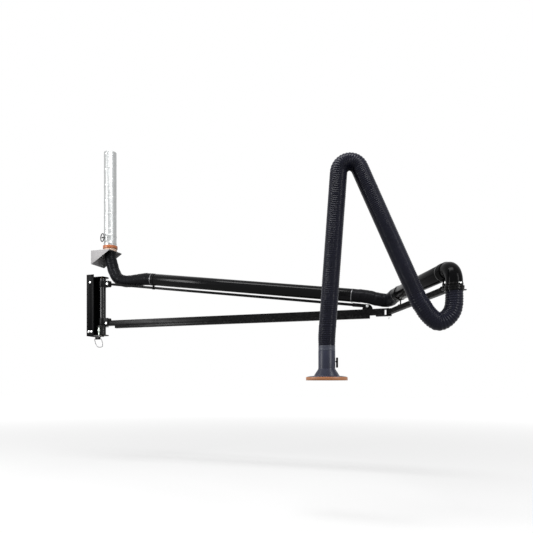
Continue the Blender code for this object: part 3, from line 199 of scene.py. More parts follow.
def cut(piece, cutter):
    step = piece.modifiers.new("cut", "BOOLEAN")
    step.operation = "DIFFERENCE"
    step.object = cutter
    apply_all(piece)
    bpy.data.objects.remove(cutter)


def finish_piece(piece, name, body, material, *nodes):
    """Name a piece, give it its finish and its body, and say which CAD nodes it stands for."""
    piece.name = name
    piece.data.name = name
    piece.data.materials.clear()
    piece.data.materials.append(finishes[material])
    if body:
        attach(piece, body)
    if nodes:
        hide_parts(*nodes)
    return piece


def fit(piece, name, place, body, material, *nodes):
    """Lay a piece in its place and finish it."""
    return finish_piece(lay(piece, place), name, body, material, *nodes)


def merge(*many):
    hold(many[0])
    for piece in many:
        piece.select_set(True)
    bpy.ops.object.join()
    return many[0]


def screws(pattern, name, body, material, places, node=""):
    """Copies of one modelled screw on the places given, numbered from 1. The pattern itself goes."""
    for n, place in enumerate(places, 1):
        twin = bpy.data.objects.new(name, pattern.data.copy())
        bpy.context.scene.collection.objects.link(twin)
        twin.data.transform(place)
        nodes = [f"{node}_{n}"] if node else []
        finish_piece(twin, f"{name}_{n}", body, material, *nodes)
    bpy.data.objects.remove(pattern)


# Ways of making a piece

def turned(profile, sides=fine, ends="joined", edge=0.0):
    """A round piece on Z: a circle drawn out through (radius, height) points.

    The last point joins the first, or the two ends are capped, or they stay open."""
    let_go()
    radius, height = profile[0]
    bpy.ops.mesh.primitive_circle_add(vertices=sides, radius=radius, location=(0, 0, height))
    piece = bpy.context.object
    bpy.ops.object.transform_apply(location=True)
    edit(piece)
    if ends == "capped":
        bpy.ops.mesh.edge_face_add()
        bpy.ops.mesh.select_mode(type="EDGE")
    for next_radius, next_height in profile[1:] + (profile[:1] if ends == "joined" else []):
        bpy.ops.mesh.extrude_edges_move(TRANSFORM_OT_translate={"value": (0, 0, next_height - height)})
        share = next_radius / radius
        bpy.ops.transform.resize(value=(share, share, 1), center_override=(0, 0, next_height))
        radius, height = next_radius, next_height
    if ends == "capped":
        bpy.ops.mesh.edge_face_add()
    weld(piece)
    if edge:
        soften(piece, edge, 2, 30)
    return smooth_faces(piece)


def short_tube(inner, outer, low, high, sides=medium, edge=0.001):
    """A tube on Z with a square section."""
    return turned([(inner, low), (outer, low), (outer, high), (inner, high)], sides, edge=edge)


def pipe(start, end):
    tube = short_tube(pipe_radius - pipe_wall, pipe_radius, 0, (end - start).length, fine, 0.0006)
    return lay(tube, aim(end - start, start))


def bar(start, end, radius, sides=medium, edge=0.001):
    start, way = Vector(start), Vector(end) - Vector(start)
    return lay(turned([(radius, 0), (radius, way.length)], sides, "capped", edge), aim(way, start))


def block(size, centre, edge, segments=2):
    let_go()
    bpy.ops.mesh.primitive_cube_add(size=1, location=centre)
    piece = bpy.context.object
    piece.scale = size
    bpy.ops.object.transform_apply(location=True, rotation=True, scale=True)
    return smooth_faces(soften(piece, edge, segments))


def hexagon(radius, height, low, crown):
    """A hexagon that stands on a level, its top face shaped by steps of (inset, rise)."""
    let_go()
    bpy.ops.mesh.primitive_cylinder_add(vertices=6, radius=radius, depth=height,
                                        location=(0, 0, low + height / 2))
    piece = bpy.context.object
    bpy.ops.object.transform_apply(location=True)
    pick_faces(piece, lambda centre, normal: normal.z > 0.9)
    for inset, rise in crown:
        bpy.ops.mesh.inset(thickness=inset)
        bpy.ops.transform.translate(value=(0, 0, rise))
    let_go()
    return soften(piece, 0.05 * radius, 2, 25)


def hexagon_head(radius, height, washer=1.35):
    """A hexagon head on Z with its washer, its chamfered crown and a turned dish in the middle."""
    washer_top = 0.16 * height
    crown = ((0.14 * radius, 0.18 * height), (0.28 * radius, -0.09 * height))
    head = hexagon(radius, height, washer_top, crown)
    ring = short_tube(0.4 * radius, washer * radius, 0, washer_top, edge=0.0004)
    return smooth_faces(merge(head, ring), 30)


def nut_and_thread(radius, height, thread_radius, tail):
    """A nut on Z, with the threads of a bolt that stand out of it."""
    nut = hexagon(radius, height, 0, ((0.16 * radius, 0.12 * height),))
    profile = [(thread_radius * 0.9, height * 0.9)]
    steps = max(3, round(tail / (0.22 * thread_radius)))
    for n in range(steps):
        up = height + tail * n / steps
        profile += [(thread_radius, up), (0.88 * thread_radius, up + 0.5 * tail / steps)]
    profile.append((0.7 * thread_radius, height + tail))
    return smooth_faces(merge(nut, turned(profile, small, "capped")), 30)


def finer(node, name, material, edge, segments=2):
    """A CAD node's own shape with its edges softened. It stands for the node on the node's body."""
    piece = bpy.data.objects.new(name, frame["nodes"][node].data.copy())
    bpy.context.scene.collection.objects.link(piece)
    edit(piece)
    bpy.ops.mesh.remove_doubles(threshold=weld_distance)
    bpy.ops.mesh.dissolve_limited(angle_limit=math.radians(0.5))
    bpy.ops.object.mode_set(mode="OBJECT")
    soften(piece, edge, segments)
    return finish_piece(smooth_faces(piece, 40), name, body_of[node], material, node)


def smooth_route(points, steps=12):
    """A smooth curve through the points of a route, whose first and last runs stay straight."""
    points = [Vector(p) for p in points]
    first, last, inner = points[0], points[-1], points[1:-1]
    start_way = (inner[0] - first).normalized() * (inner[1] - inner[0]).length
    end_way = (last - inner[-1]).normalized() * (inner[-1] - inner[-2]).length
    ends = [inner[1] - 2 * start_way] + inner + [inner[-2] + 2 * end_way]
    line = [first]
    for before, here, there, after in zip(ends, ends[1:], ends[2:], ends[3:]):
        for n in range(steps):
            u = n / steps
            line.append(
                here
                + (there - before) * (u / 2)
                + (before - here * 5 / 2 + there * 2 - after / 2) * u**2
                + ((here - there) * 3 / 2 + (after - before) / 2) * u**3
            )
    return line + [inner[-1], last]


def arc(centre, radius, start, end, steps):
    """Points of an arc in the XZ plane. Angles are from +X towards +Z."""
    sweep = [start + (end - start) * n / steps for n in range(steps + 1)]
    return [Vector(centre) + radius * Vector((math.cos(a), 0, math.sin(a))) for a in sweep]


def spaced(line, count):
    """Points at even steps along a line, and the line's length."""
    lengths = [0.0]
    for here, there in zip(line, line[1:]):
        lengths.append(lengths[-1] + (there - here).length)
    places, i = [], 1
    for n in range(count + 1):
        target = lengths[-1] * n / count
        while i < len(lengths) - 1 and lengths[i] < target:
            i += 1
        step = lengths[i] - lengths[i - 1]
        places.append(line[i - 1].lerp(line[i], (target - lengths[i - 1]) / step if step else 0))
    return places, lengths[-1]


def rolled(line, step, sides, radius_at, closed=False, side_way=Vector((0, 1, 0))):
    """A sheet rolled round a line into a tube. Its UV map is in metres: along, then around."""
    line = [Vector(p) for p in line]
    if closed:
        line = line + [line[0]]
    length = sum((b - a).length for a, b in zip(line, line[1:]))
    count = max(2, round(length / step))
    places, length = spaced(line, count)
    let_go()
    bpy.ops.mesh.primitive_grid_add(x_subdivisions=count, y_subdivisions=sides, size=1)
    piece = bpy.context.object
    ways = []
    for n in range(count + 1):
        before, after = places[max(0, n - 1)], places[min(count, n + 1)]
        if closed and n in (0, count):
            before, after = places[count - 1], places[1]
        ways.append((after - before).normalized())
    across = [(side_way - side_way.dot(ways[0]) * ways[0]).normalized()]
    for here, there in zip(ways, ways[1:]):
        turn = here.rotation_difference(there)
        moved = turn @ across[-1]
        across.append((moved - moved.dot(there) * there).normalized())
    rings = {}
    for vertex in piece.data.vertices:
        n = round((vertex.co.x + 0.5) * count)
        a = full_turn * round((vertex.co.y + 0.5) * sides) / sides
        up = rings.setdefault(n, ways[n].cross(across[n]))
        radius = radius_at(length * n / count, length, a)
        vertex.co = places[n] + radius * (math.cos(a) * across[n] + math.sin(a) * up)
    around = full_turn * radius_at(length / 2, length, 0)
    for loop in piece.data.uv_layers[0].data:
        loop.uv = (loop.uv[0] * length, loop.uv[1] * around)
    weld(piece)
    return smooth_faces(piece, 60)


# Finishes

def new_group(name, vector, outputs, **numbers):
    """A shader node group: one vector input, number inputs with their first values, number outputs."""
    group = bpy.data.node_groups.new(name, "ShaderNodeTree")
    group.interface.new_socket(name=vector, in_out="INPUT", socket_type="NodeSocketVector")
    for label, value in numbers.items():
        socket = group.interface.new_socket(name=label.replace("_", " "), in_out="INPUT",
                                            socket_type="NodeSocketFloat")
        socket.default_value = value
    for label in outputs:
        group.interface.new_socket(name=label, in_out="OUTPUT", socket_type="NodeSocketFloat")
    return group, group.nodes.new("NodeGroupInput").outputs, group.nodes.new("NodeGroupOutput").inputs


def feed(tree, socket, value):
    """Link a socket to another node's output, or give it a plain number or colour."""
    if isinstance(value, bpy.types.NodeSocket):
        tree.links.new(value, socket)
    else:
        socket.default_value = (*value, 1) if isinstance(value, tuple) else value


def noise(tree, vector, scale, detail, roughness, distortion=0.0):
    node = tree.nodes.new("ShaderNodeTexNoise")
    labels = ("Vector", "Scale", "Detail", "Roughness", "Distortion")
    for label, value in zip(labels, (vector, scale, detail, roughness, distortion)):
        feed(tree, node.inputs[label], value)
    return node.outputs["Fac"]


def maths(tree, operation, *values, clamp=False):
    node = tree.nodes.new("ShaderNodeMath")
    node.operation = operation
    node.use_clamp = clamp
    for socket, value in zip(node.inputs, values):
        feed(tree, socket, value)
    return node.outputs[0]


def spread(tree, value, low, high, to_low, to_high):
    """Map a range of a value to another range, clamped."""
    node = tree.nodes.new("ShaderNodeMapRange")
    labels = ("Value", "From Min", "From Max", "To Min", "To Max")
    for label, number in zip(labels, (value, low, high, to_low, to_high)):
        feed(tree, node.inputs[label], number)
    return node.outputs["Result"]


def mixed(tree, share, first, second):
    """A mix of two colours, each a tuple or a socket."""
    node = tree.nodes.new("ShaderNodeMix")
    node.data_type = "RGBA"
    for label, value in (("Factor", share), ("A", first), ("B", second)):
        feed(tree, node.inputs[label], value)
    return node.outputs["Result"]


def make_marks_group():
    """Cloudy handling marks: a mask from 0 to 1 that changes slowly, broken up by fine grain."""
    group, given, result = new_group("handling marks", "Vector", ["Mask"], Size=3.0, Grain=60.0)
    broad = noise(group, given["Vector"], given["Size"], 5.0, 0.6, 0.3)
    grain = noise(group, given["Vector"], given["Grain"], 3.0, 0.6)
    both = maths(group, "MULTIPLY_ADD", grain, 0.35, maths(group, "MULTIPLY", broad, 0.75))
    group.links.new(spread(group, both, 0.38, 0.72, 0.0, 1.0), result["Mask"])
    return group


def make_dust_group():
    """Dust that settles on faces that look up, in patches."""
    group, given, result = new_group("settled dust", "Vector", ["Mask"], Amount=0.5)
    look = group.nodes.new("ShaderNodeNewGeometry")
    parts = group.nodes.new("ShaderNodeSeparateXYZ")
    group.links.new(look.outputs["Normal"], parts.inputs[0])
    upward = spread(group, parts.outputs["Z"], 0.35, 1.0, 0.0, 1.0)
    patches = noise(group, given["Vector"], 9.0, 6.0, 0.7)
    cover = spread(group, patches, 0.35, 0.70, 0.25, 1.0)
    mask = maths(group, "MULTIPLY", maths(group, "MULTIPLY", upward, cover), given["Amount"])
    group.links.new(mask, result["Mask"])
    return group


def make_wear_group():
    """Bare, rubbed edges: where the surface turns sharply, broken up by noise."""
    group, given, result = new_group("rubbed edges", "Vector", ["Mask"], Amount=0.5)
    look = group.nodes.new("ShaderNodeNewGeometry")
    edge = spread(group, look.outputs["Pointiness"], 0.52, 0.60, 0.0, 1.0)
    chips = spread(group, noise(group, given["Vector"], 45.0, 5.0, 0.7), 0.50, 0.62, 0.0, 1.0)
    mask = maths(group, "MULTIPLY", maths(group, "MULTIPLY", edge, chips), given["Amount"])
    group.links.new(mask, result["Mask"])
    return group


def make_peel_group():
    """The fine orange peel of a sprayed or baked coat, as a height."""
    group, given, result = new_group("orange peel", "Vector", ["Height"], Scale=350.0)
    fine_peel = noise(group, given["Vector"], given["Scale"], 2.0, 0.5)
    waves = noise(group, given["Vector"], 40.0, 2.0, 0.5)
    group.links.new(maths(group, "MULTIPLY_ADD", waves, 0.6, fine_peel), result["Height"])
    return group


def make_weave_group():
    """Plain weave on a UV map in metres: a height, and a mask of the thread crowns."""
    group, given, result = new_group("plain weave", "UV", ["Height", "Crowns"], Threads_per_metre=900.0)
    parts = group.nodes.new("ShaderNodeSeparateXYZ")
    group.links.new(given["UV"], parts.inputs[0])
    turn = maths(group, "MULTIPLY", given["Threads per metre"], math.pi)
    warp = maths(group, "SINE", maths(group, "MULTIPLY", parts.outputs["X"], turn))
    weft = maths(group, "SINE", maths(group, "MULTIPLY", parts.outputs["Y"], turn))
    crossing = maths(group, "MULTIPLY", warp, weft)
    crowns = maths(group, "ABSOLUTE", crossing)
    group.links.new(maths(group, "MULTIPLY_ADD", crossing, 0.5, crowns), result["Height"])
    group.links.new(crowns, result["Crowns"])
    return group


groups = {
    "marks": make_marks_group(),
    "dust": make_dust_group(),
    "wear": make_wear_group(),
    "peel": make_peel_group(),
    "weave": make_weave_group(),
}


class Finish:
    """A material with one Principled shader, whose sockets take numbers or links."""

    def __init__(self, name, colour, roughness, metallic=0.0, **plain):
        self.material = bpy.data.materials.new(name)
        self.material.use_nodes = True
        self.tree = self.material.node_tree
        self.shader = self.tree.nodes["Principled BSDF"]
        place = self.tree.nodes.new("ShaderNodeTexCoord")
        self.object, self.uv = place.outputs["Object"], place.outputs["UV"]
        self.set("Base Color", colour)
        self.set("Roughness", roughness)
        self.set("Metallic", metallic)
        for label, value in plain.items():
            self.set(label.replace("_", " "), value)
        finishes[name] = self.material

    def set(self, label, value):
        feed(self.tree, self.shader.inputs[label], value)

    def group(self, kind, output, **values):
        node = self.tree.nodes.new("ShaderNodeGroup")
        node.node_tree = groups[kind]
        self.tree.links.new(self.object, node.inputs[0])
        for label, value in values.items():
            node.inputs[label.replace("_", " ")].default_value = value
        return node.outputs[output]

    def bump(self, height, strength, distance):
        node = self.tree.nodes.new("ShaderNodeBump")
        node.inputs["Strength"].default_value = strength
        node.inputs["Distance"].default_value = distance
        self.tree.links.new(height, node.inputs["Height"])
        self.tree.links.new(node.outputs["Normal"], self.shader.inputs["Normal"])


finishes = {}
# Colours of settled dust and of bare steel at rubbed edges
dust_colour = (0.16, 0.15, 0.14)
bare_steel = (0.30, 0.29, 0.28)


def coat(name, colour, roughness, dust, wear, peel=350.0, peel_depth=0.00006, shade=1.5, **plain):
    """A baked or sprayed coat: cloudy gloss, orange peel, settled dust and rubbed edges."""
    item = Finish(name, colour, roughness, **plain)
    tree = item.tree
    marks = item.group("marks", "Mask", Size=3.5, Grain=70.0)
    lighter = tuple(min(1.0, channel * shade) for channel in colour)
    body = mixed(tree, maths(tree, "MULTIPLY", marks, 0.5), colour, lighter)
    dusty = item.group("dust", "Mask", Amount=dust)
    body = mixed(tree, dusty, body, dust_colour)
    worn = item.group("wear", "Mask", Amount=wear)
    item.set("Base Color", mixed(tree, worn, body, bare_steel))
    gloss = spread(tree, marks, 0.0, 1.0, roughness * 0.85, roughness * 1.25)
    item.set("Roughness", maths(tree, "ADD", gloss, maths(tree, "MULTIPLY", dusty, 0.3), clamp=True))
    item.bump(item.group("peel", "Height", Scale=peel), 0.35, peel_depth)


def make_paints():
    coat("black_paint", (0.0026, 0.0026, 0.0029), 0.25, peel_depth=0.00003, dust=0.012, wear=0.08,
         Specular_IOR_Level=0.07)
    # A shaded copy of the black paint, a little darker and with far less reflection: painted shade on the
    # channel, its bearing plates and the second boom's tube.
    coat("shaded_black", (0.0024, 0.0024, 0.0027), 0.30, peel_depth=0.00003, dust=0.008, wear=0.05,
         Specular_IOR_Level=0.025)
    # A lit copy of the black paint, a little paler and glossier: painted light, so that a lamp lays a bright
    # streak down the post.
    coat("post_lit_black", (0.0030, 0.0030, 0.0034), 0.14, peel_depth=0.00002, dust=0.008, wear=0.05,
         Specular_IOR_Level=0.30)
    coat("grey_paint", (0.27, 0.262, 0.265), 0.50, peel=160.0, peel_depth=0.00025, dust=0.15, wear=0.3,
         shade=1.12)
    coat("orange_paint", (0.34, 0.088, 0.018), 0.36, dust=0.1, wear=0.2, shade=1.1)
    # A pale buff for the collar's foot: painted light on its lower flange, under the orange band.
    coat("lit_buff", (0.52, 0.36, 0.27), 0.42, dust=0.1, wear=0.1, shade=1.1)
    coat("orange_plastic", (0.40, 0.16, 0.065), 0.45, peel=500.0, dust=0.1, wear=0.0, shade=1.08)
    # The hood's dark paint is tinted blue: partly its own dark anthracite, partly a painted bluish
    # reflection.
    coat("hood_paint", (0.0150, 0.0172, 0.034), 0.34, dust=0.05, wear=0.15, shade=1.35,
         Specular_IOR_Level=0.28)
    # The hood's ring: a paler, bluer copy of the hood's paint, partly its own tone, partly a painted
    # highlight band.
    coat("collar_paint", (0.034, 0.038, 0.058), 0.34, dust=0.05, wear=0.3, shade=1.35,
         Specular_IOR_Level=0.40)


def make_pipe_gloss(name, shine):
    """The smooth black gloss of the pipes, with broad shallow waves in it."""
    black, paler = (0.002, 0.002, 0.0023), (0.004, 0.004, 0.0046)
    item = Finish(name, black, 0.16, Specular_IOR_Level=shine, Coat_Weight=shine / 3, Coat_Roughness=0.08)
    tree = item.tree
    marks = item.group("marks", "Mask", Size=2.2, Grain=40.0)
    dusty = item.group("dust", "Mask", Amount=0.012)
    body = mixed(tree, maths(tree, "MULTIPLY", marks, 0.5), black, paler)
    item.set("Base Color", mixed(tree, dusty, body, dust_colour))
    gloss = spread(tree, marks, 0.0, 1.0, 0.13, 0.24)
    item.set("Roughness", maths(tree, "ADD", gloss, maths(tree, "MULTIPLY", dusty, 0.35), clamp=True))
    item.bump(noise(tree, item.object, 22.0, 3.0, 0.5), 0.25, 0.0006)


def make_hose_cloth(name, colour, crown_colour, sheen, gloss, shine, coating):
    """Coated cloth: a weave on the hose's own UV map, softer and paler on its thread crowns."""
    # The sheen and the gloss are tinted blue: a painted bluish cast on the reflections of black cloth.
    item = Finish(name, colour, gloss, Specular_IOR_Level=shine, Sheen_Weight=sheen, Sheen_Roughness=0.4,
                  Sheen_Tint=(0.55, 0.60, 1.0), Specular_Tint=(0.80, 0.84, 1.0), Coat_Weight=coating,
                  Coat_Roughness=0.16)
    tree = item.tree
    node = tree.nodes.new("ShaderNodeGroup")
    node.node_tree = groups["weave"]
    tree.links.new(item.uv, node.inputs["UV"])
    node.inputs["Threads per metre"].default_value = 700.0
    marks = item.group("marks", "Mask", Size=5.0, Grain=50.0)
    body = mixed(tree, node.outputs["Crowns"], colour, crown_colour)
    dusty = item.group("dust", "Mask", Amount=0.02)
    scuffed_colour = tuple(1.6 * channel for channel in crown_colour)
    scuffed = mixed(tree, maths(tree, "MULTIPLY", marks, 0.35), body, scuffed_colour)
    item.set("Base Color", mixed(tree, dusty, scuffed, dust_colour))
    item.set("Roughness", spread(tree, marks, 0.0, 1.0, gloss * 0.85, gloss * 1.2))
    stretched = tree.nodes.new("ShaderNodeMapping")
    stretched.inputs["Scale"].default_value = (14.0, 55.0, 1.0)
    tree.links.new(item.uv, stretched.inputs["Vector"])
    creases = noise(tree, stretched.outputs["Vector"], 1.0, 3.0, 0.6)
    height = maths(tree, "MULTIPLY_ADD", creases, 3.0, node.outputs["Height"])
    item.bump(height, 0.5, 0.0005)


def make_metals():
    """Plain and plated metals: handled, a little dull, and finely grained."""
    for name, colour, rough, grain in (
        ("zinc", (0.66, 0.67, 0.66), 0.30, 90.0),
        ("steel", (0.16, 0.16, 0.165), 0.34, 60.0),
        ("dark_metal", (0.045, 0.045, 0.047), 0.36, 60.0),
        ("link_metal", (0.55, 0.55, 0.56), 0.38, 80.0),
        ("bronze", (0.52, 0.35, 0.17), 0.36, 70.0),
        ("lock_zinc", (0.62, 0.68, 0.62), 0.30, 80.0),
    ):
        item = Finish(name, colour, rough, 1.0)
        tree = item.tree
        marks = item.group("marks", "Mask", Size=18.0, Grain=grain)
        dull = tuple(channel * 0.68 for channel in colour)
        item.set("Base Color", mixed(tree, marks, colour, dull))
        item.set("Roughness", spread(tree, marks, 0.0, 1.0, rough * 0.8, rough * 1.4))
        item.bump(noise(tree, item.object, 500.0, 2.0, 0.5), 0.2, 0.00005)


def make_galvanised():
    """Spangled zinc: crystals of slightly different grey and gloss."""
    item = Finish("galvanised", (0.74, 0.75, 0.74), 0.30, 1.0)
    tree = item.tree
    cells = tree.nodes.new("ShaderNodeTexVoronoi")
    cells.inputs["Scale"].default_value = 70.0
    tree.links.new(item.object, cells.inputs["Vector"])
    tone = tree.nodes.new("ShaderNodeSeparateColor")
    tree.links.new(cells.outputs["Color"], tone.inputs[0])
    marks = item.group("marks", "Mask", Size=4.0, Grain=30.0)
    body = mixed(tree, tone.outputs["Red"], (0.38, 0.39, 0.39), (0.50, 0.51, 0.51))
    item.set("Base Color", mixed(tree, maths(tree, "MULTIPLY", marks, 0.35), body, (0.30, 0.31, 0.31)))
    crystal = spread(tree, tone.outputs["Green"], 0.0, 1.0, 0.26, 0.38)
    item.set("Roughness", maths(tree, "MULTIPLY_ADD", marks, 0.10, crystal, clamp=True))
    item.bump(cells.outputs["Distance"], 0.03, 0.0004)


make_paints()
make_pipe_gloss("gloss_pipe", 0.075)
# A shaded copy of the pipes' gloss with far less reflection: painted shade on the second pipe and the elbow.
make_pipe_gloss("shaded_pipe", 0.03)
# The arm hose's black and its thread crowns are tinted blue: painted bluish sheen in the colour of black
# cloth.
make_hose_cloth("black_hose", (0.0046, 0.0046, 0.0080), (0.0096, 0.0100, 0.0190), sheen=0.02, gloss=0.28,
                shine=0.03, coating=0.13)
make_hose_cloth("soft_hose", (0.003, 0.003, 0.0034), (0.005, 0.005, 0.0056), sheen=0.01, gloss=0.42,
                shine=0.04, coating=0.04)
make_metals()
make_galvanised()


# Wall unit

def dress_channel():
    finer("wall_channel", "channel", "shaded_black", 0.0018)
    pattern = merge(hexagon_head(0.015, 0.010), bar((0, 0, -0.0064), (0, 0, 0.001), 0.0078, small))
    places = [aim((1, 0, 0), (0.0063, y, z)) for z in (0.36, -0.36) for y in (-0.045, 0.045)]
    screws(pattern, "anchor", "wall_unit", "zinc", places, "anchor_bolt")


def dress_bearings():
    finer("upper_bearing_plate", "top_plate", "shaded_black", 0.0016)
    finer("lower_bearing_plate", "bottom_plate", "shaded_black", 0.0016)
    tab_face = 0.1002
    places = [aim((0, side, 0), (x, side * tab_face, z))
              for x, z in ((0.0675, 0.368), (0.0425, -0.419), (0.0925, -0.419)) for side in (-1, 1)]
    screws(hexagon_head(0.0133, 0.0085), "tab_bolt", "wall_unit", "zinc", places)
    bore, barrel, flange = 0.0204, 0.030, 0.042
    profile = [(bore, 0.0103), (flange, 0.0103), (flange, 0.0063), (barrel, 0.0063), (barrel, -0.006),
               (bore, -0.006)]
    for name, level, turn in (("upper_bush", 0.444, turned_over), ("lower_bush", -0.476, Matrix.Identity(4))):
        place = Matrix.Translation((post.x, 0, level)) @ turn
        fit(turned(profile, medium, edge=0.0006), name + "_turned", place, "wall_unit", "bronze", name)


def dress_lock():
    """The spring lock below the index ring: its housing, its pin with a pull block, and the ring."""
    at = Vector((0.21513, -0.07308, 0))
    bore, barrel = 0.0066, 0.0120
    profile = [(bore, -0.345), (0.0072, -0.345), (0.0080, -0.3462), (barrel, -0.360), (0.0165, -0.377),
               (0.0191, -0.392), (0.0207, -0.403), (0.0210, -0.410), (0.0200, -0.4165), (0.0165, -0.4235),
               (barrel, -0.4270), (0.0119, -0.4640), (0.0158, -0.4648), (0.0160, -0.4697),
               (barrel, -0.4697), (barrel, -0.483), (bore, -0.483)]
    housing = turned(profile, medium, edge=0.0006)
    fit(housing, "lock_sleeve", Matrix.Translation(at), "wall_unit", "lock_zinc", "lock_housing")
    pin_low, pin_high, grip_z, eye_z = -0.524, -0.3455, -0.5225, -0.5345
    pin = bar(at + Vector((0, 0, pin_low)), at + Vector((0, 0, pin_high)), 0.006, small, 0.0006)
    finish_piece(pin, "lock_plunger", "lock_pin", "zinc", "lock_pin")

    middle = at - Vector((0.022, 0, 0))
    grip = block((0.090, 0.024, 0.048), (0, 0, 0), 0.0045, 3)
    cut(grip, bar((-0.05, 0, -0.012), (0.05, 0, -0.012), 0.0057, small, 0))
    place = Matrix.Translation(middle + Vector((0, 0, grip_z)))
    fit(smooth_faces(grip), "pull_grip", place, "lock_pin", "black_paint")

    # The ring's bar runs through the block, and its bow hangs below, as shares of half its width and its drop
    bow = ((0.97, 0.02), (1.08, 0.12), (1.10, 0.35), (1.06, 0.60), (0.88, 0.85), (0.50, 0.98), (0, 1))
    bow += tuple((-across, down) for across, down in reversed(bow[:-1]))
    half_width, lean, drop = 0.060, 0.040, 0.134
    bar_middle, bar_end = Vector((0, 0, 0)), Vector((0.054, 0, 0))
    route = [bar_middle, bar_end]
    route += [Vector((half_width * across + lean * down, 0, -drop * down)) for across, down in bow]
    route = smooth_route(route + [-bar_end, bar_middle])
    eye, wire_radius = middle + Vector((0, 0, eye_z)), 0.005
    line = [point + eye for point in route[:-1]]
    ring = rolled(line, 0.003, 16, lambda along, length, a: wire_radius, closed=True)
    finish_piece(ring, "pull_ring", "lock_ring", "steel", "lock_ring")


def dress_console():
    finer("duct_console", "console", "grey_paint", 0.0012)
    places = [aim((1, 0, 0), (0.0041, y, z)) for y in (0.06, 0.30) for z in (0.862, 0.722)]
    screws(hexagon_head(0.009, 0.006), "console_bolt", "wall_unit", "zinc", places)


def dress_duct():
    """The collar on the console, the damper's sleeve with two beads, and the duct with a spiral seam."""
    # The foot takes the pale buff: painted light on the collar's lower flange.
    foot = [(0.0595, 0.9083), (0.0595, 0.842), (0.062, 0.842), (0.062, 0.9023), (0.1055, 0.9023),
            (0.1055, 0.9444), (0.103, 0.9444), (0.103, 0.9083)]
    fit(turned(foot, edge=0.0012), "collar_foot", duct_place, "wall_unit", "lit_buff", "duct_collar")
    band = [(0.103, 0.9447), (0.116, 0.9447), (0.116, 0.9897), (0.0975, 0.9897), (0.0975, 0.9872),
            (0.103, 0.9872)]
    fit(turned(band, edge=0.0012), "collar_band", duct_place, "wall_unit", "orange_paint", "duct_collar")

    radius, sheet = 0.099, 0.0015
    inner, bead = radius - sheet, radius + 0.004
    profile = [(inner, 0.990), (radius, 0.990)]
    for low in (1.0200, 1.1377):
        profile += [(radius, low), (bead, low + 0.0015), (bead, low + 0.0105), (radius, low + 0.0120)]
    profile += [(radius, 1.1677), (inner, 1.1677)]
    fit(turned(profile, edge=0.0005), "sleeve", duct_place, "wall_unit", "galvanised", "damper_sleeve")

    pitch, seam, seam_rise = 0.250, 0.012, 0.0026

    def with_seam(along, length, a):
        turns = (along / pitch - a / full_turn) % 1.0
        near = max(0.0, 1 - abs(turns - 0.5) * pitch / (seam / 2))
        return radius - 0.0004 + seam_rise * min(1.0, 1.8 * near)

    line = [Vector((duct_x, duct_y, level)) for level in (1.168, 2.510)]
    duct = rolled(line, 0.004, fine, with_seam, side_way=Vector((1, 0, 0)))
    thicken(duct, sheet)
    finish_piece(smooth_faces(duct, 50), "duct", "wall_unit", "galvanised", "spiral_duct")


def dress_duct_damper():
    """The blade in the duct, and the hand ring that stands outside it."""
    finer("damper_blade", "duct_blade", "galvanised", 0.0004)
    bearing, ring_z, distance = math.radians(240), 1.11, 0.1353
    centre = Vector((duct_x, duct_y, ring_z)) + distance * Vector((math.cos(bearing), math.sin(bearing), 0))
    ring_radius, ring_thickness = 0.062, 0.008
    let_go()
    bpy.ops.mesh.primitive_torus_add(major_segments=64, minor_segments=16, major_radius=ring_radius,
                                     minor_radius=ring_thickness)
    ring = bpy.context.object
    cross = lay(bar((0, 0, -0.060), (0, 0, 0.060), 0.0042, small), Matrix.Rotation(quarter_turn, 4, "Y"))
    handle = merge(ring, cross, short_tube(0.006, 0.0125, -0.006, 0.006))
    place = (Matrix.Translation(centre) @ Matrix.Rotation(bearing + quarter_turn, 4, "Z")
             @ Matrix.Rotation(quarter_turn, 4, "X"))
    fit(smooth_faces(handle), "hand_ring", place, "duct_damper", "dark_metal", "damper_hand_ring")


# Hoses

def second_point(along, z):
    """A point of the second boom, along it from the outer hinge."""
    return outer_hinge @ Vector((along, 0, z))


def in_plane(points):
    """Points of the hose arm's own upright plane, in the room."""
    return [arm_plane @ Vector(p) for p in points]


def wall_hose_route():
    start, end = Vector((duct_x, duct_y, 0.8977)), pipe_start - pipe_way * gap
    fall, reach = start.z - end.z, end.x - start.x
    shares = ((0, 1, 0.115), (0.037, 0.989, 0.363), (0.090, 0.956, 0.613), (0.185, 0.861, 0.828),
              (0.338, 0.694, 0.938), (0.506, 0.500, 0.966), (0.676, 0.278, 0.967))
    route = [Vector((start.x + reach * along, start.y * across, start.z - fall * down))
             for along, across, down in shares]
    return smooth_route([start, *route, end - pipe_way * 0.085, end])


def knuckle_hose_route():
    """The hose over the outer hinge, which hangs down almost to the top of the tube."""
    start = pipe_end + pipe_way * gap
    tube_top, clearance = -0.245, 0.015
    dip = tube_top + hinge_hose_radius + clearance
    over = [Vector((hinge_reach - 0.1224, 0, dip + 0.0166)), second_point(0.0136, dip + 0.00425)]
    ends = [second_point(along, second_pipe_z) for along in (0.2577, 0.3597)]
    return smooth_route([start, start + pipe_way * 0.170, *over, *ends])


def base_hose_route():
    """Down from the elbow, round the bend and up along the lower arm. The bend is in its own radii."""
    bend = ((-1, 0.50), (-0.985, 0.135), (-0.957, -0.045), (-0.908, -0.255), (-0.803, -0.487),
            (-0.625, -0.711), (-0.355, -0.930), (0, -1.026), (0.316, -0.855), (0.566, -0.618),
            (0.789, -0.349), (0.985, -0.033))
    route = [Vector((0, 0, -0.3429))]
    route += [bend_centre + bend_radius * Vector((across, 0, up)) for across, up in bend]
    route += [leg_start + lower_way * run for run in (0.75 * base_run, base_run)]
    return in_plane(smooth_route(route, 8))


def peak_hose_route():
    start = leg_end - lower_way * (peak_run - gap)
    crown = arc(peak_centre, peak_radius, math.pi - lower_lean, upper_lean, 48)
    return in_plane([start, *crown, peak_end + upper_way * peak_run])


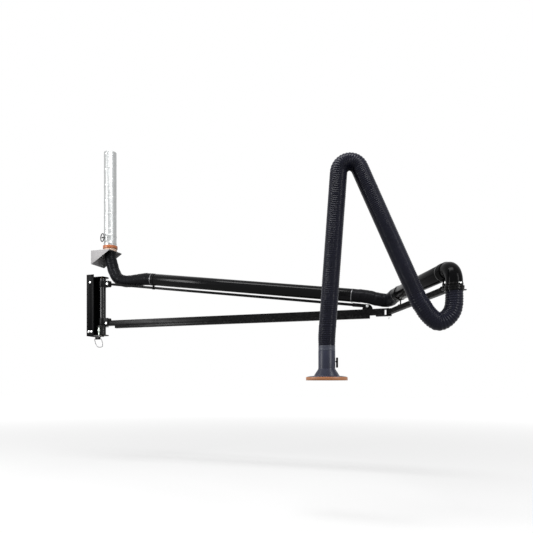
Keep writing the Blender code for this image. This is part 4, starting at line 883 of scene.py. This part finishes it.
def hood_hose_route():
    start = hood_pivot - upper_way * (neck_run - gap)
    bottom = Vector((hood_pivot.x, 0, hood_pivot.z - 0.0932))
    third = (bottom - start).length / 3
    return in_plane(smooth_route([start, start + upper_way * third, bottom + Vector((0, 0, third)), bottom]))


def creased(seed, radius):
    """The radius of a soft cloth hose: shallow folds that run round it, with smooth ends."""
    waves = ((23.0, 1, 0.3), (37.0, 2, 1.7), (61.0, 1, 2.9), (17.0, 3, 0.9))
    fold, sunk, smooth_end = 0.0020, 0.0022, 0.05

    def radius_at(along, length, a):
        swell = 0.0
        for n, (rate, lobes, phase) in enumerate(waves):
            bent = 1.3 * math.sin(lobes * a + phase * 2 + seed)
            swell += math.sin(rate * along * 2.2 + phase + seed + bent) / (n + 2)
        calm = min(1.0, along / smooth_end, (length - along) / smooth_end)
        return radius - sunk + fold * swell * max(0.0, calm)

    return radius_at


def ribbed(seed, pitch=0.0185, depth=0.0042, fuller=(proud, proud, proud)):
    """The radius of a hose on a coiled wire: the wire's round ridge, with slack cloth between turns.

    It is fuller than the CAD's hose by the three amounts given, at its start, middle and end."""
    smooth_end = 0.012

    def radius_at(along, length, a):
        turns = (along / pitch - a / full_turn) % 1.0
        ridge = abs(math.cos(math.pi * turns)) ** 1.6
        slack = 0.10 * math.sin(3 * a + seed + along * 9.0) + 0.06 * math.sin(7 * a - along * 31.0 + seed)
        calm = min(1.0, along / smooth_end, (length - along) / smooth_end)
        share = along / length
        inwards = share * 2 if share < 0.5 else 2 - share * 2
        at_end = fuller[0] if share < 0.5 else fuller[2]
        more = at_end + (fuller[1] - at_end) * inwards**0.5
        return hose_radius + more - depth * calm * (1 - ridge) * (1 + slack)

    return radius_at


def hose(name, node, material, line, radius_at, bodies, bend=(0, -1), step=0.0031, sides=64):
    """A length of hose that rides on one body, or stays unattached where it runs between two. Its bend
    argument, from one point of its line to another, is not used.
    """
    piece = rolled(line, step, sides, radius_at)
    thicken(piece, hose_wall)
    bends = len(bodies) == 2
    finish_piece(smooth_faces(piece, 70), name, None if bends else bodies[0], material, node)
    if bends:
        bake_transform(piece)


def dress_hoses():
    cloth = {"step": 0.005, "sides": 72}
    hose("cloth_hose_wall", "wall_hose", "soft_hose", wall_hose_route(), creased(0.0, wall_hose_radius),
         ["wall_unit", "boom"], **cloth)
    hose("cloth_hose_hinge", "knuckle_hose", "soft_hose", knuckle_hose_route(),
         creased(2.0, hinge_hose_radius), ["boom", "second_boom"], **cloth)
    hose("arm_hose_bend", "base_hose", "black_hose", base_hose_route(),
         ribbed(0.0, 0.024, 0.0040, (0, 0.0072, proud)), ["arm_base", "lower_arm"], (2, -1), 0.0032)
    lower_line = in_plane([leg_start + lower_way * (base_run + gap), leg_end - lower_way * peak_run])
    hose("arm_hose_lower", "lower_hose", "black_hose", lower_line, ribbed(1.0), ["lower_arm"])
    hose("arm_hose_crown", "peak_hose", "black_hose", peak_hose_route(), ribbed(2.0),
         ["lower_arm", "upper_arm"], (2, -2))
    upper_line = in_plane([peak_end + upper_way * (peak_run + gap), hood_pivot - upper_way * neck_run])
    hose("arm_hose_upper", "upper_hose", "black_hose", upper_line, ribbed(3.0), ["upper_arm"])
    hose("arm_hose_neck", "hood_hose", "black_hose", hood_hose_route(),
         ribbed(4.0, fuller=(proud, proud, 0)), ["upper_arm", "hood_yoke"])


def band_clamp(name, centre, way, radius, body, screw_turn, material="steel", width=0.012):
    """A worm-drive clamp: a thin rolled band in its own finish, with a zinc housing and screw."""
    roll = 0.0012
    crown = radius + 0.0016
    band = turned([(radius, 0), (crown, roll), (crown, width - roll), (radius, width)], fine, "open")
    lay(band, Matrix.Translation((0, 0, -width / 2)))
    thicken(band, 0.0008)
    screw_x = radius + 0.0062
    housing = block((0.011, 0.020, width * 0.9), (radius + 0.0055, 0, 0), 0.0018)
    screw = bar((screw_x, -0.020, 0), (screw_x, 0.012, 0), 0.0036, small)
    head = lay(hexagon_head(0.0052, 0.005, washer=1.2), aim((0, -1, 0), (screw_x, -0.019, 0)))
    place = aim(way, centre) @ Matrix.Rotation(screw_turn, 4, "Z")
    fit(merge(housing, screw, head), name + "_screw", place, body, "zinc")
    return fit(smooth_faces(band), name, place, body, material)


# First boom

def dress_post():
    """The post with its index ring, whose holes take the lock pin."""
    nose, journal, barrel, flange = 0.0188, 0.020, 0.050, 0.096
    profile = [(nose, -0.500), (journal, -0.4985), (journal, -0.4654), (barrel, -0.4654), (barrel, -0.341),
               (flange, -0.341), (flange, -0.333), (barrel, -0.333), (barrel, 0.4334), (journal, 0.4334),
               (journal, 0.4665), (nose, 0.468)]
    piece = turned(profile, ends="capped")
    let_go()
    holes, hole_circle, hole_radius = 8, 0.075, 0.0072
    cutters = []
    for n in range(holes):
        a = math.radians(-103) + full_turn * n / holes
        at = (hole_circle * math.cos(a), hole_circle * math.sin(a), -0.337)
        bpy.ops.mesh.primitive_cylinder_add(vertices=small, radius=hole_radius, depth=0.03, location=at)
        cutters.append(bpy.context.object)
    cut(piece, merge(*cutters))
    soften(piece, 0.0010)
    fit(smooth_faces(piece), "post", Matrix.Translation(post), "boom", "post_lit_black", "pivot_post")


def pin_bolt(name, centre, width, node):
    """The bolt through two lugs, along Y, with a head on the near side and a nut on the far one."""
    half, height, thread_radius = width / 2 + gap, 0.008, 0.0076
    shank = bar((0, 0, -half), (0, 0, half), 0.0078, small)
    head = lay(hexagon_head(0.014, height), Matrix.Translation((0, 0, half)))
    nut = lay(nut_and_thread(0.013, height, thread_radius, 0.004),
              Matrix.Translation((0, 0, -half)) @ turned_over)
    fit(merge(head, shank, nut), name, aim((0, -1, 0), centre), "boom", "zinc", node)


def dress_first_boom():
    finer("upper_clevis", "rod_clevis", "black_paint", 0.0016)
    finer("lower_clevis", "boom_clevis", "black_paint", 0.0016)
    pin_bolt("rod_clevis_bolt", rod_start, 0.0566, "upper_clevis_bolt")
    pin_bolt("boom_clevis_bolt", Vector((0.322, 0, -0.287)), 0.0766, "lower_clevis_bolt")
    finer("boom_tube", "boom_beam", "black_paint", 0.0035, 3)
    finer("trolley_rail", "rail", "black_paint", 0.0020)


def dress_tie_rod():
    rod = bar(rod_start + rod_way * 0.020, rod_end - rod_way * 0.095, 0.019)
    eye = lay(short_tube(0.0083, 0.028, -0.020, 0.020, edge=0.0016), aim((0, 1, 0), rod_start))
    nut = lay(nut_and_thread(0.029, 0.018, 0.0193, 0.014), aim(-rod_way, rod_end - rod_way * 0.1805))
    finish_piece(merge(rod, eye, nut), "tie_bar", "boom", "black_paint", "tie_rod")
    finer("tie_rod_fork", "tie_bar_fork", "black_paint", 0.0014)
    finer("rod_ear", "ear", "black_paint", 0.0014)
    pin_bolt("ear_bolt", rod_end, 0.0286, "rod_ear_bolt")


def pipe_band():
    """The band of a stand or saddle that goes round a pipe, on Z."""
    return short_tube(0.0902, 0.0933, -0.015, 0.015, fine, 0.0008)


def dress_first_pipe():
    """The pipe and its two stands. Each has a band, a web and a grip round the tie rod."""
    finish_piece(pipe(pipe_start, pipe_end), "pipe_first", "boom", "gloss_pipe", "duct_pipe")
    up = Vector((-pipe_way.z, 0, pipe_way.x))
    upright = Matrix((pipe_way, Vector((0, 1, 0)), up)).transposed().to_4x4()
    fall = pipe_rise * pipe_way.x
    web_height = fall - 0.1145
    for name, reach in (("stand_inner", 0.942), ("stand_outer", 3.805)):
        middle = pipe_point(reach)
        band = lay(pipe_band(), aim(pipe_way, middle))
        grip = lay(short_tube(0.0192, 0.0253, -0.018, 0.018), aim(pipe_way, middle - up * fall))
        web = block((0.024, 0.008, web_height), (0, 0, 0), 0.001)
        lay(web, Matrix.Translation(middle - up * (0.0915 + web_height / 2)) @ upright)
        finish_piece(merge(band, grip, web), name, "boom", "black_paint", "pipe_" + name)


def dress_outer_hinge():
    finer("boom_end_fork", "end_fork", "black_paint", 0.0030, 3)
    high, low = -0.2447, -0.3473
    washer_low = low - 0.0025
    cap, shank, washer, thread = 0.022, 0.013, 0.020, 0.0065
    profile = [(0.0205, high + 0.005), (cap, high + 0.004), (cap, high), (shank, high), (shank, low),
               (washer, low), (washer, washer_low), (thread, washer_low), (thread, low - 0.0385),
               (0.0055, low - 0.040)]
    pin = turned(profile, medium, "capped")
    nut = lay(nut_and_thread(0.017, 0.0115, 0.0068, 0.020),
              Matrix.Translation((0, 0, washer_low)) @ turned_over)
    fit(merge(pin, nut), "hinge_bolt", hinge_place, "boom", "zinc", "hinge_pin")


# Second boom

def dress_second_boom():
    finer("second_boom_tube", "second_beam", "shaded_black", 0.0035, 3)
    piece = pipe(Vector((0.360, 0, second_pipe_z)), Vector((1.808, 0, second_pipe_z)))
    fit(piece, "pipe_second", outer_hinge, "second_boom", "shaded_pipe", "second_pipe")
    for name, along in (("saddle_inner", 0.450), ("saddle_outer", 1.718)):
        band = lay(pipe_band(), aim((1, 0, 0), (along, 0, second_pipe_z)))
        web = block((0.026, 0.008, 0.058), (along, 0, -0.2305), 0.001)
        foot = block((0.030, 0.060, 0.008), (along, 0, -0.2617), 0.001)
        fit(merge(band, web, foot), name, outer_hinge, "second_boom", "black_paint", "pipe_" + name)


def dress_elbow():
    """The elbow with a bead at each end, its clamp, and the ring that the hose arm turns under."""
    bend, foot = 0.150, -0.316
    crown = arc((1.820, 0, -0.261), bend, quarter_turn, 0, 48)
    line = [Vector((1.790, 0, second_pipe_z)), *crown, Vector((elbow_reach, 0, foot))]

    def beaded(along, length, a):
        near = min(abs(along - 0.026), abs(length - 0.020 - along))
        return elbow_radius - 0.0006 + 0.0026 * max(0.0, 1 - (near / 0.0055) ** 2)

    elbow = rolled([outer_hinge @ p for p in line], 0.0035, fine, beaded)
    thicken(elbow, 0.0030)
    finish_piece(smooth_faces(elbow, 60), "elbow", "second_boom", "shaded_pipe", "elbow_duct")

    radius = elbow_radius + gap
    clamp = band_clamp("clamp_elbow", elbow_line @ Vector((0, 0, -0.276)), (0, 0, 1), radius + 0.0012,
                       "second_boom", math.radians(-48), "black_paint", 0.018)
    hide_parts("elbow_clamp")
    ring = short_tube(radius, radius + 0.013, foot, foot + 0.020, fine, 0.0018)
    fit(ring, "slew_ring", elbow_line, "second_boom", "black_paint", "swivel_ring")


def dress_end_bracket():
    finer("end_bracket", "elbow_bracket", "black_paint", 0.0016)
    places = [outer_hinge @ aim((1, 0, 0), (1.8125, y, z)) for y in (-0.036, 0.036) for z in (-0.262, -0.300)]
    screws(hexagon_head(0.009, 0.006), "bracket_bolt", "second_boom", "steel", places)


# Hose arm

def dress_arm():
    finer("base_collar", "arm_collar", "black_paint", 0.0016)
    for node in ("base_bracket", "lower_link", "upper_link"):
        finer(node, node + "_bar", "link_metal", 0.0010)
    finer("hood_yoke", "hood_yoke_bar", "link_metal", 0.0002)
    for node in ("base_pin", "middle_pin"):
        finer(node, node + "_bolt", "zinc", 0.0002)


def dress_hood_ring():
    """The hood's ring with a bead near each edge, and the three spokes that carry its hub."""
    inner, outer, bead = 0.079, 0.083, 0.0842
    profile = [(inner, ring_low), (outer, ring_low)]
    for level in (ring_low + 0.009, ring_top - 0.009):
        profile += [(outer, level - 0.005), (bead, level - 0.003)]
        profile += [(bead, level + 0.003), (outer, level + 0.005)]
    profile += [(outer, ring_top), (inner, ring_top)]
    ring = turned(profile, edge=0.0005)
    hub = short_tube(0.0086, 0.015, -0.895, -0.875)
    spokes = []
    for n in range(3):
        spoke = block((0.066, 0.008, 0.008), (0.0475, 0, -0.885), 0.0012)
        spokes.append(lay(spoke, Matrix.Rotation(full_turn * n / 3, 4, "Z")))
    fit(merge(ring, hub, *spokes), "hood_ring", hood_place, "hood", "collar_paint", "hood_collar")


def dress_hood_shell():
    """The neck and the funnel in one sheet, with the neck's seam on the far side."""
    neck, sheet, mouth_radius = 0.084, 0.0025, 0.134
    profile = [(neck - sheet, neck_top), (neck, neck_top), (neck, neck_low + 0.006),
               (0.0846, neck_low + 0.001), (0.086, neck_low - 0.004),
               (mouth_radius, mouth), (mouth_radius - sheet, mouth),
               (0.0842 - sheet, neck_low - 0.004), (neck - sheet, neck_low + 0.003)]
    shell = turned(profile, finest, edge=0.0005)
    seam = block((0.0016, 0.010, 0.172), (0.0845, 0, neck_low + 0.090), 0.0006)
    lay(seam, Matrix.Rotation(math.radians(150), 4, "Z"))
    fit(merge(shell, seam), "hood_funnel", hood_place, "hood", "hood_paint", "hood_shell")


def dress_hood_rim():
    """The wide rim: a dark curved sheet on top, which is painted shade on the rim's upper side, and the
    orange dish under it with a turned-down lip.
    """
    inner, outer = 0.1343, 0.206
    high = mouth + 0.008
    low = high - 0.044
    curve = [(inner + (outer - inner) * s, high - 0.012 * s**2) for s in (0, 0.2, 0.4, 0.6, 0.8, 0.93)]

    def lowered(points, depth):
        return [(r, z - depth) for r, z in points]

    sheet = curve + lowered(reversed(curve), 0.0035)
    # The top sheet is in the hood's dark paint: painted shade on the rim's upper side.
    fit(turned(sheet, finest), "hood_dish_shaded_top", hood_place, "hood", "hood_paint", "hood_rim")
    lip = [(outer - 0.0012, high - 0.0118), (outer, high - 0.0142), (outer, low + 0.002),
           (outer - 0.0012, low), (outer - 0.0032, low), (outer - 0.004, low + 0.002),
           (outer - 0.004, high - 0.020)]
    dish = lowered(curve, 0.0038) + lip + lowered(reversed(curve), 0.008)
    fit(turned(dish, finest), "hood_dish", hood_place, "hood", "orange_plastic", "hood_rim")


def dress_hood_damper():
    finer("hood_damper", "hood_flap", "steel", 0.0006)
    shaft = neck_top - 0.107
    grip = block((0.0205, 0.0240, 0.100), (-0.10125, 0, shaft - 0.010), 0.0035, 3)
    fit(grip, "flap_grip", hood_place, "hood_damper", "black_paint")


def dress_pipe_clamps():
    """The clamps that hold the hoses' ends at the pipes. The wall hose is the widest there."""
    run, turn, wall_hose_band, hinge_hose_band = 0.014, 0.6, 0.0932, 0.0898
    band_clamp("clamp_first_start", pipe_start - pipe_way * run, pipe_way, wall_hose_band, "boom", turn)
    band_clamp("clamp_first_end", pipe_end + pipe_way * run, pipe_way, hinge_hose_band, "boom", turn)
    second_way = outer_hinge.to_3x3() @ Vector((1, 0, 0))
    start = second_point(0.346, second_pipe_z)
    band_clamp("clamp_second_start", start, second_way, hinge_hose_band, "second_boom", 2.2)


dress_channel()
dress_bearings()
dress_lock()
dress_console()
dress_duct()
dress_duct_damper()
dress_hoses()
dress_post()
dress_first_boom()
dress_tie_rod()
dress_first_pipe()
dress_outer_hinge()
dress_second_boom()
dress_elbow()
dress_end_bracket()
dress_arm()
dress_hood_ring()
dress_hood_shell()
dress_hood_rim()
dress_hood_damper()
dress_pipe_clamps()


# Floor, light and camera

def seen_rays(tree):
    """1 for rays that see the surroundings: from the camera, off gloss or through glass."""
    path = tree.nodes.new("ShaderNodeLightPath")
    either = maths(tree, "MAXIMUM", path.outputs["Is Camera Ray"], path.outputs["Is Glossy Ray"])
    return maths(tree, "MAXIMUM", either, path.outputs["Is Transmission Ray"])


def lay_floor():
    """A matt floor that also glows for rays that see it: less near the object, whose shadow it shows."""
    floor_size, floor_level, grey = 90, -2.60, 0.30
    near, far, near_glow, far_glow = 3.0, 16.0, 0.62, 0.92
    let_go()
    bpy.ops.mesh.primitive_plane_add(size=floor_size, location=(2.5, 0, floor_level))
    floor = bpy.context.object
    floor.name = "floor"
    material = bpy.data.materials.new("pale floor")
    material.use_nodes = True
    tree = material.node_tree
    tree.nodes.remove(tree.nodes["Principled BSDF"])
    matt = tree.nodes.new("ShaderNodeBsdfDiffuse")
    matt.inputs["Color"].default_value = (grey, grey, grey, 1)
    glow = tree.nodes.new("ShaderNodeEmission")
    place = tree.nodes.new("ShaderNodeTexCoord")
    away = tree.nodes.new("ShaderNodeVectorMath")
    away.operation = "LENGTH"
    tree.links.new(place.outputs["Object"], away.inputs[0])
    strength = spread(tree, away.outputs["Value"], near, far, near_glow, far_glow)
    tree.links.new(maths(tree, "MULTIPLY", seen_rays(tree), strength), glow.inputs["Strength"])
    both = tree.nodes.new("ShaderNodeAddShader")
    tree.links.new(matt.outputs[0], both.inputs[0])
    tree.links.new(glow.outputs[0], both.inputs[1])
    tree.links.new(both.outputs[0], tree.nodes["Material Output"].inputs["Surface"])
    floor.data.materials.append(material)


def light_the_room():
    """A white room that lights the object at a low level and is seen as white."""
    lighting, seen = 0.30, 1.0
    world = bpy.data.worlds.new("pale room")
    bpy.context.scene.world = world
    world.use_nodes = True
    tree = world.node_tree
    plain = tree.nodes["Background"]
    plain.inputs["Color"].default_value = (1.0, 1.0, 1.0, 1)
    tree.links.new(spread(tree, seen_rays(tree), 0.0, 1.0, lighting, seen), plain.inputs["Strength"])


def soft_lamp(name, place, aim_at, size, watts):
    lamp = bpy.data.lights.new(name, "AREA")
    lamp.shape = "RECTANGLE"
    lamp.size, lamp.size_y = size
    lamp.energy = watts
    item = bpy.data.objects.new(name, lamp)
    bpy.context.scene.collection.objects.link(item)
    item.location = place
    item.rotation_euler = (Vector(aim_at) - Vector(place)).to_track_quat("-Z", "Y").to_euler()


def set_camera():
    """A level camera in front of the boom's outer end, turned a little towards the wall."""
    lens = bpy.data.cameras.new("view")
    lens.sensor_width = 36
    lens.lens = 37.15
    lens.shift_x, lens.shift_y = -0.0016, 0.2201
    camera = bpy.data.objects.new("view", lens)
    bpy.context.scene.collection.objects.link(camera)
    camera.location = (5.59, -7.46, -1.25)
    camera.rotation_euler = (quarter_turn, 0, math.atan2(0.326, 0.9454))
    bpy.context.scene.camera = camera


lay_floor()
light_the_room()
soft_lamp("long box overhead", (2.6, -3.2, 5.6), (2.9, -0.4, 0.0), (6.0, 1.6), 500)
soft_lamp("tall box on the left", (-3.6, -5.6, 1.6), (1.2, 0, 0.3), (1.6, 4.0), 380)
soft_lamp("tall box on the right", (9.6, -4.2, 1.8), (4.6, -1.8, 0.0), (1.4, 4.0), 220)
set_camera()
bpy.context.scene.view_settings.view_transform = "Standard"
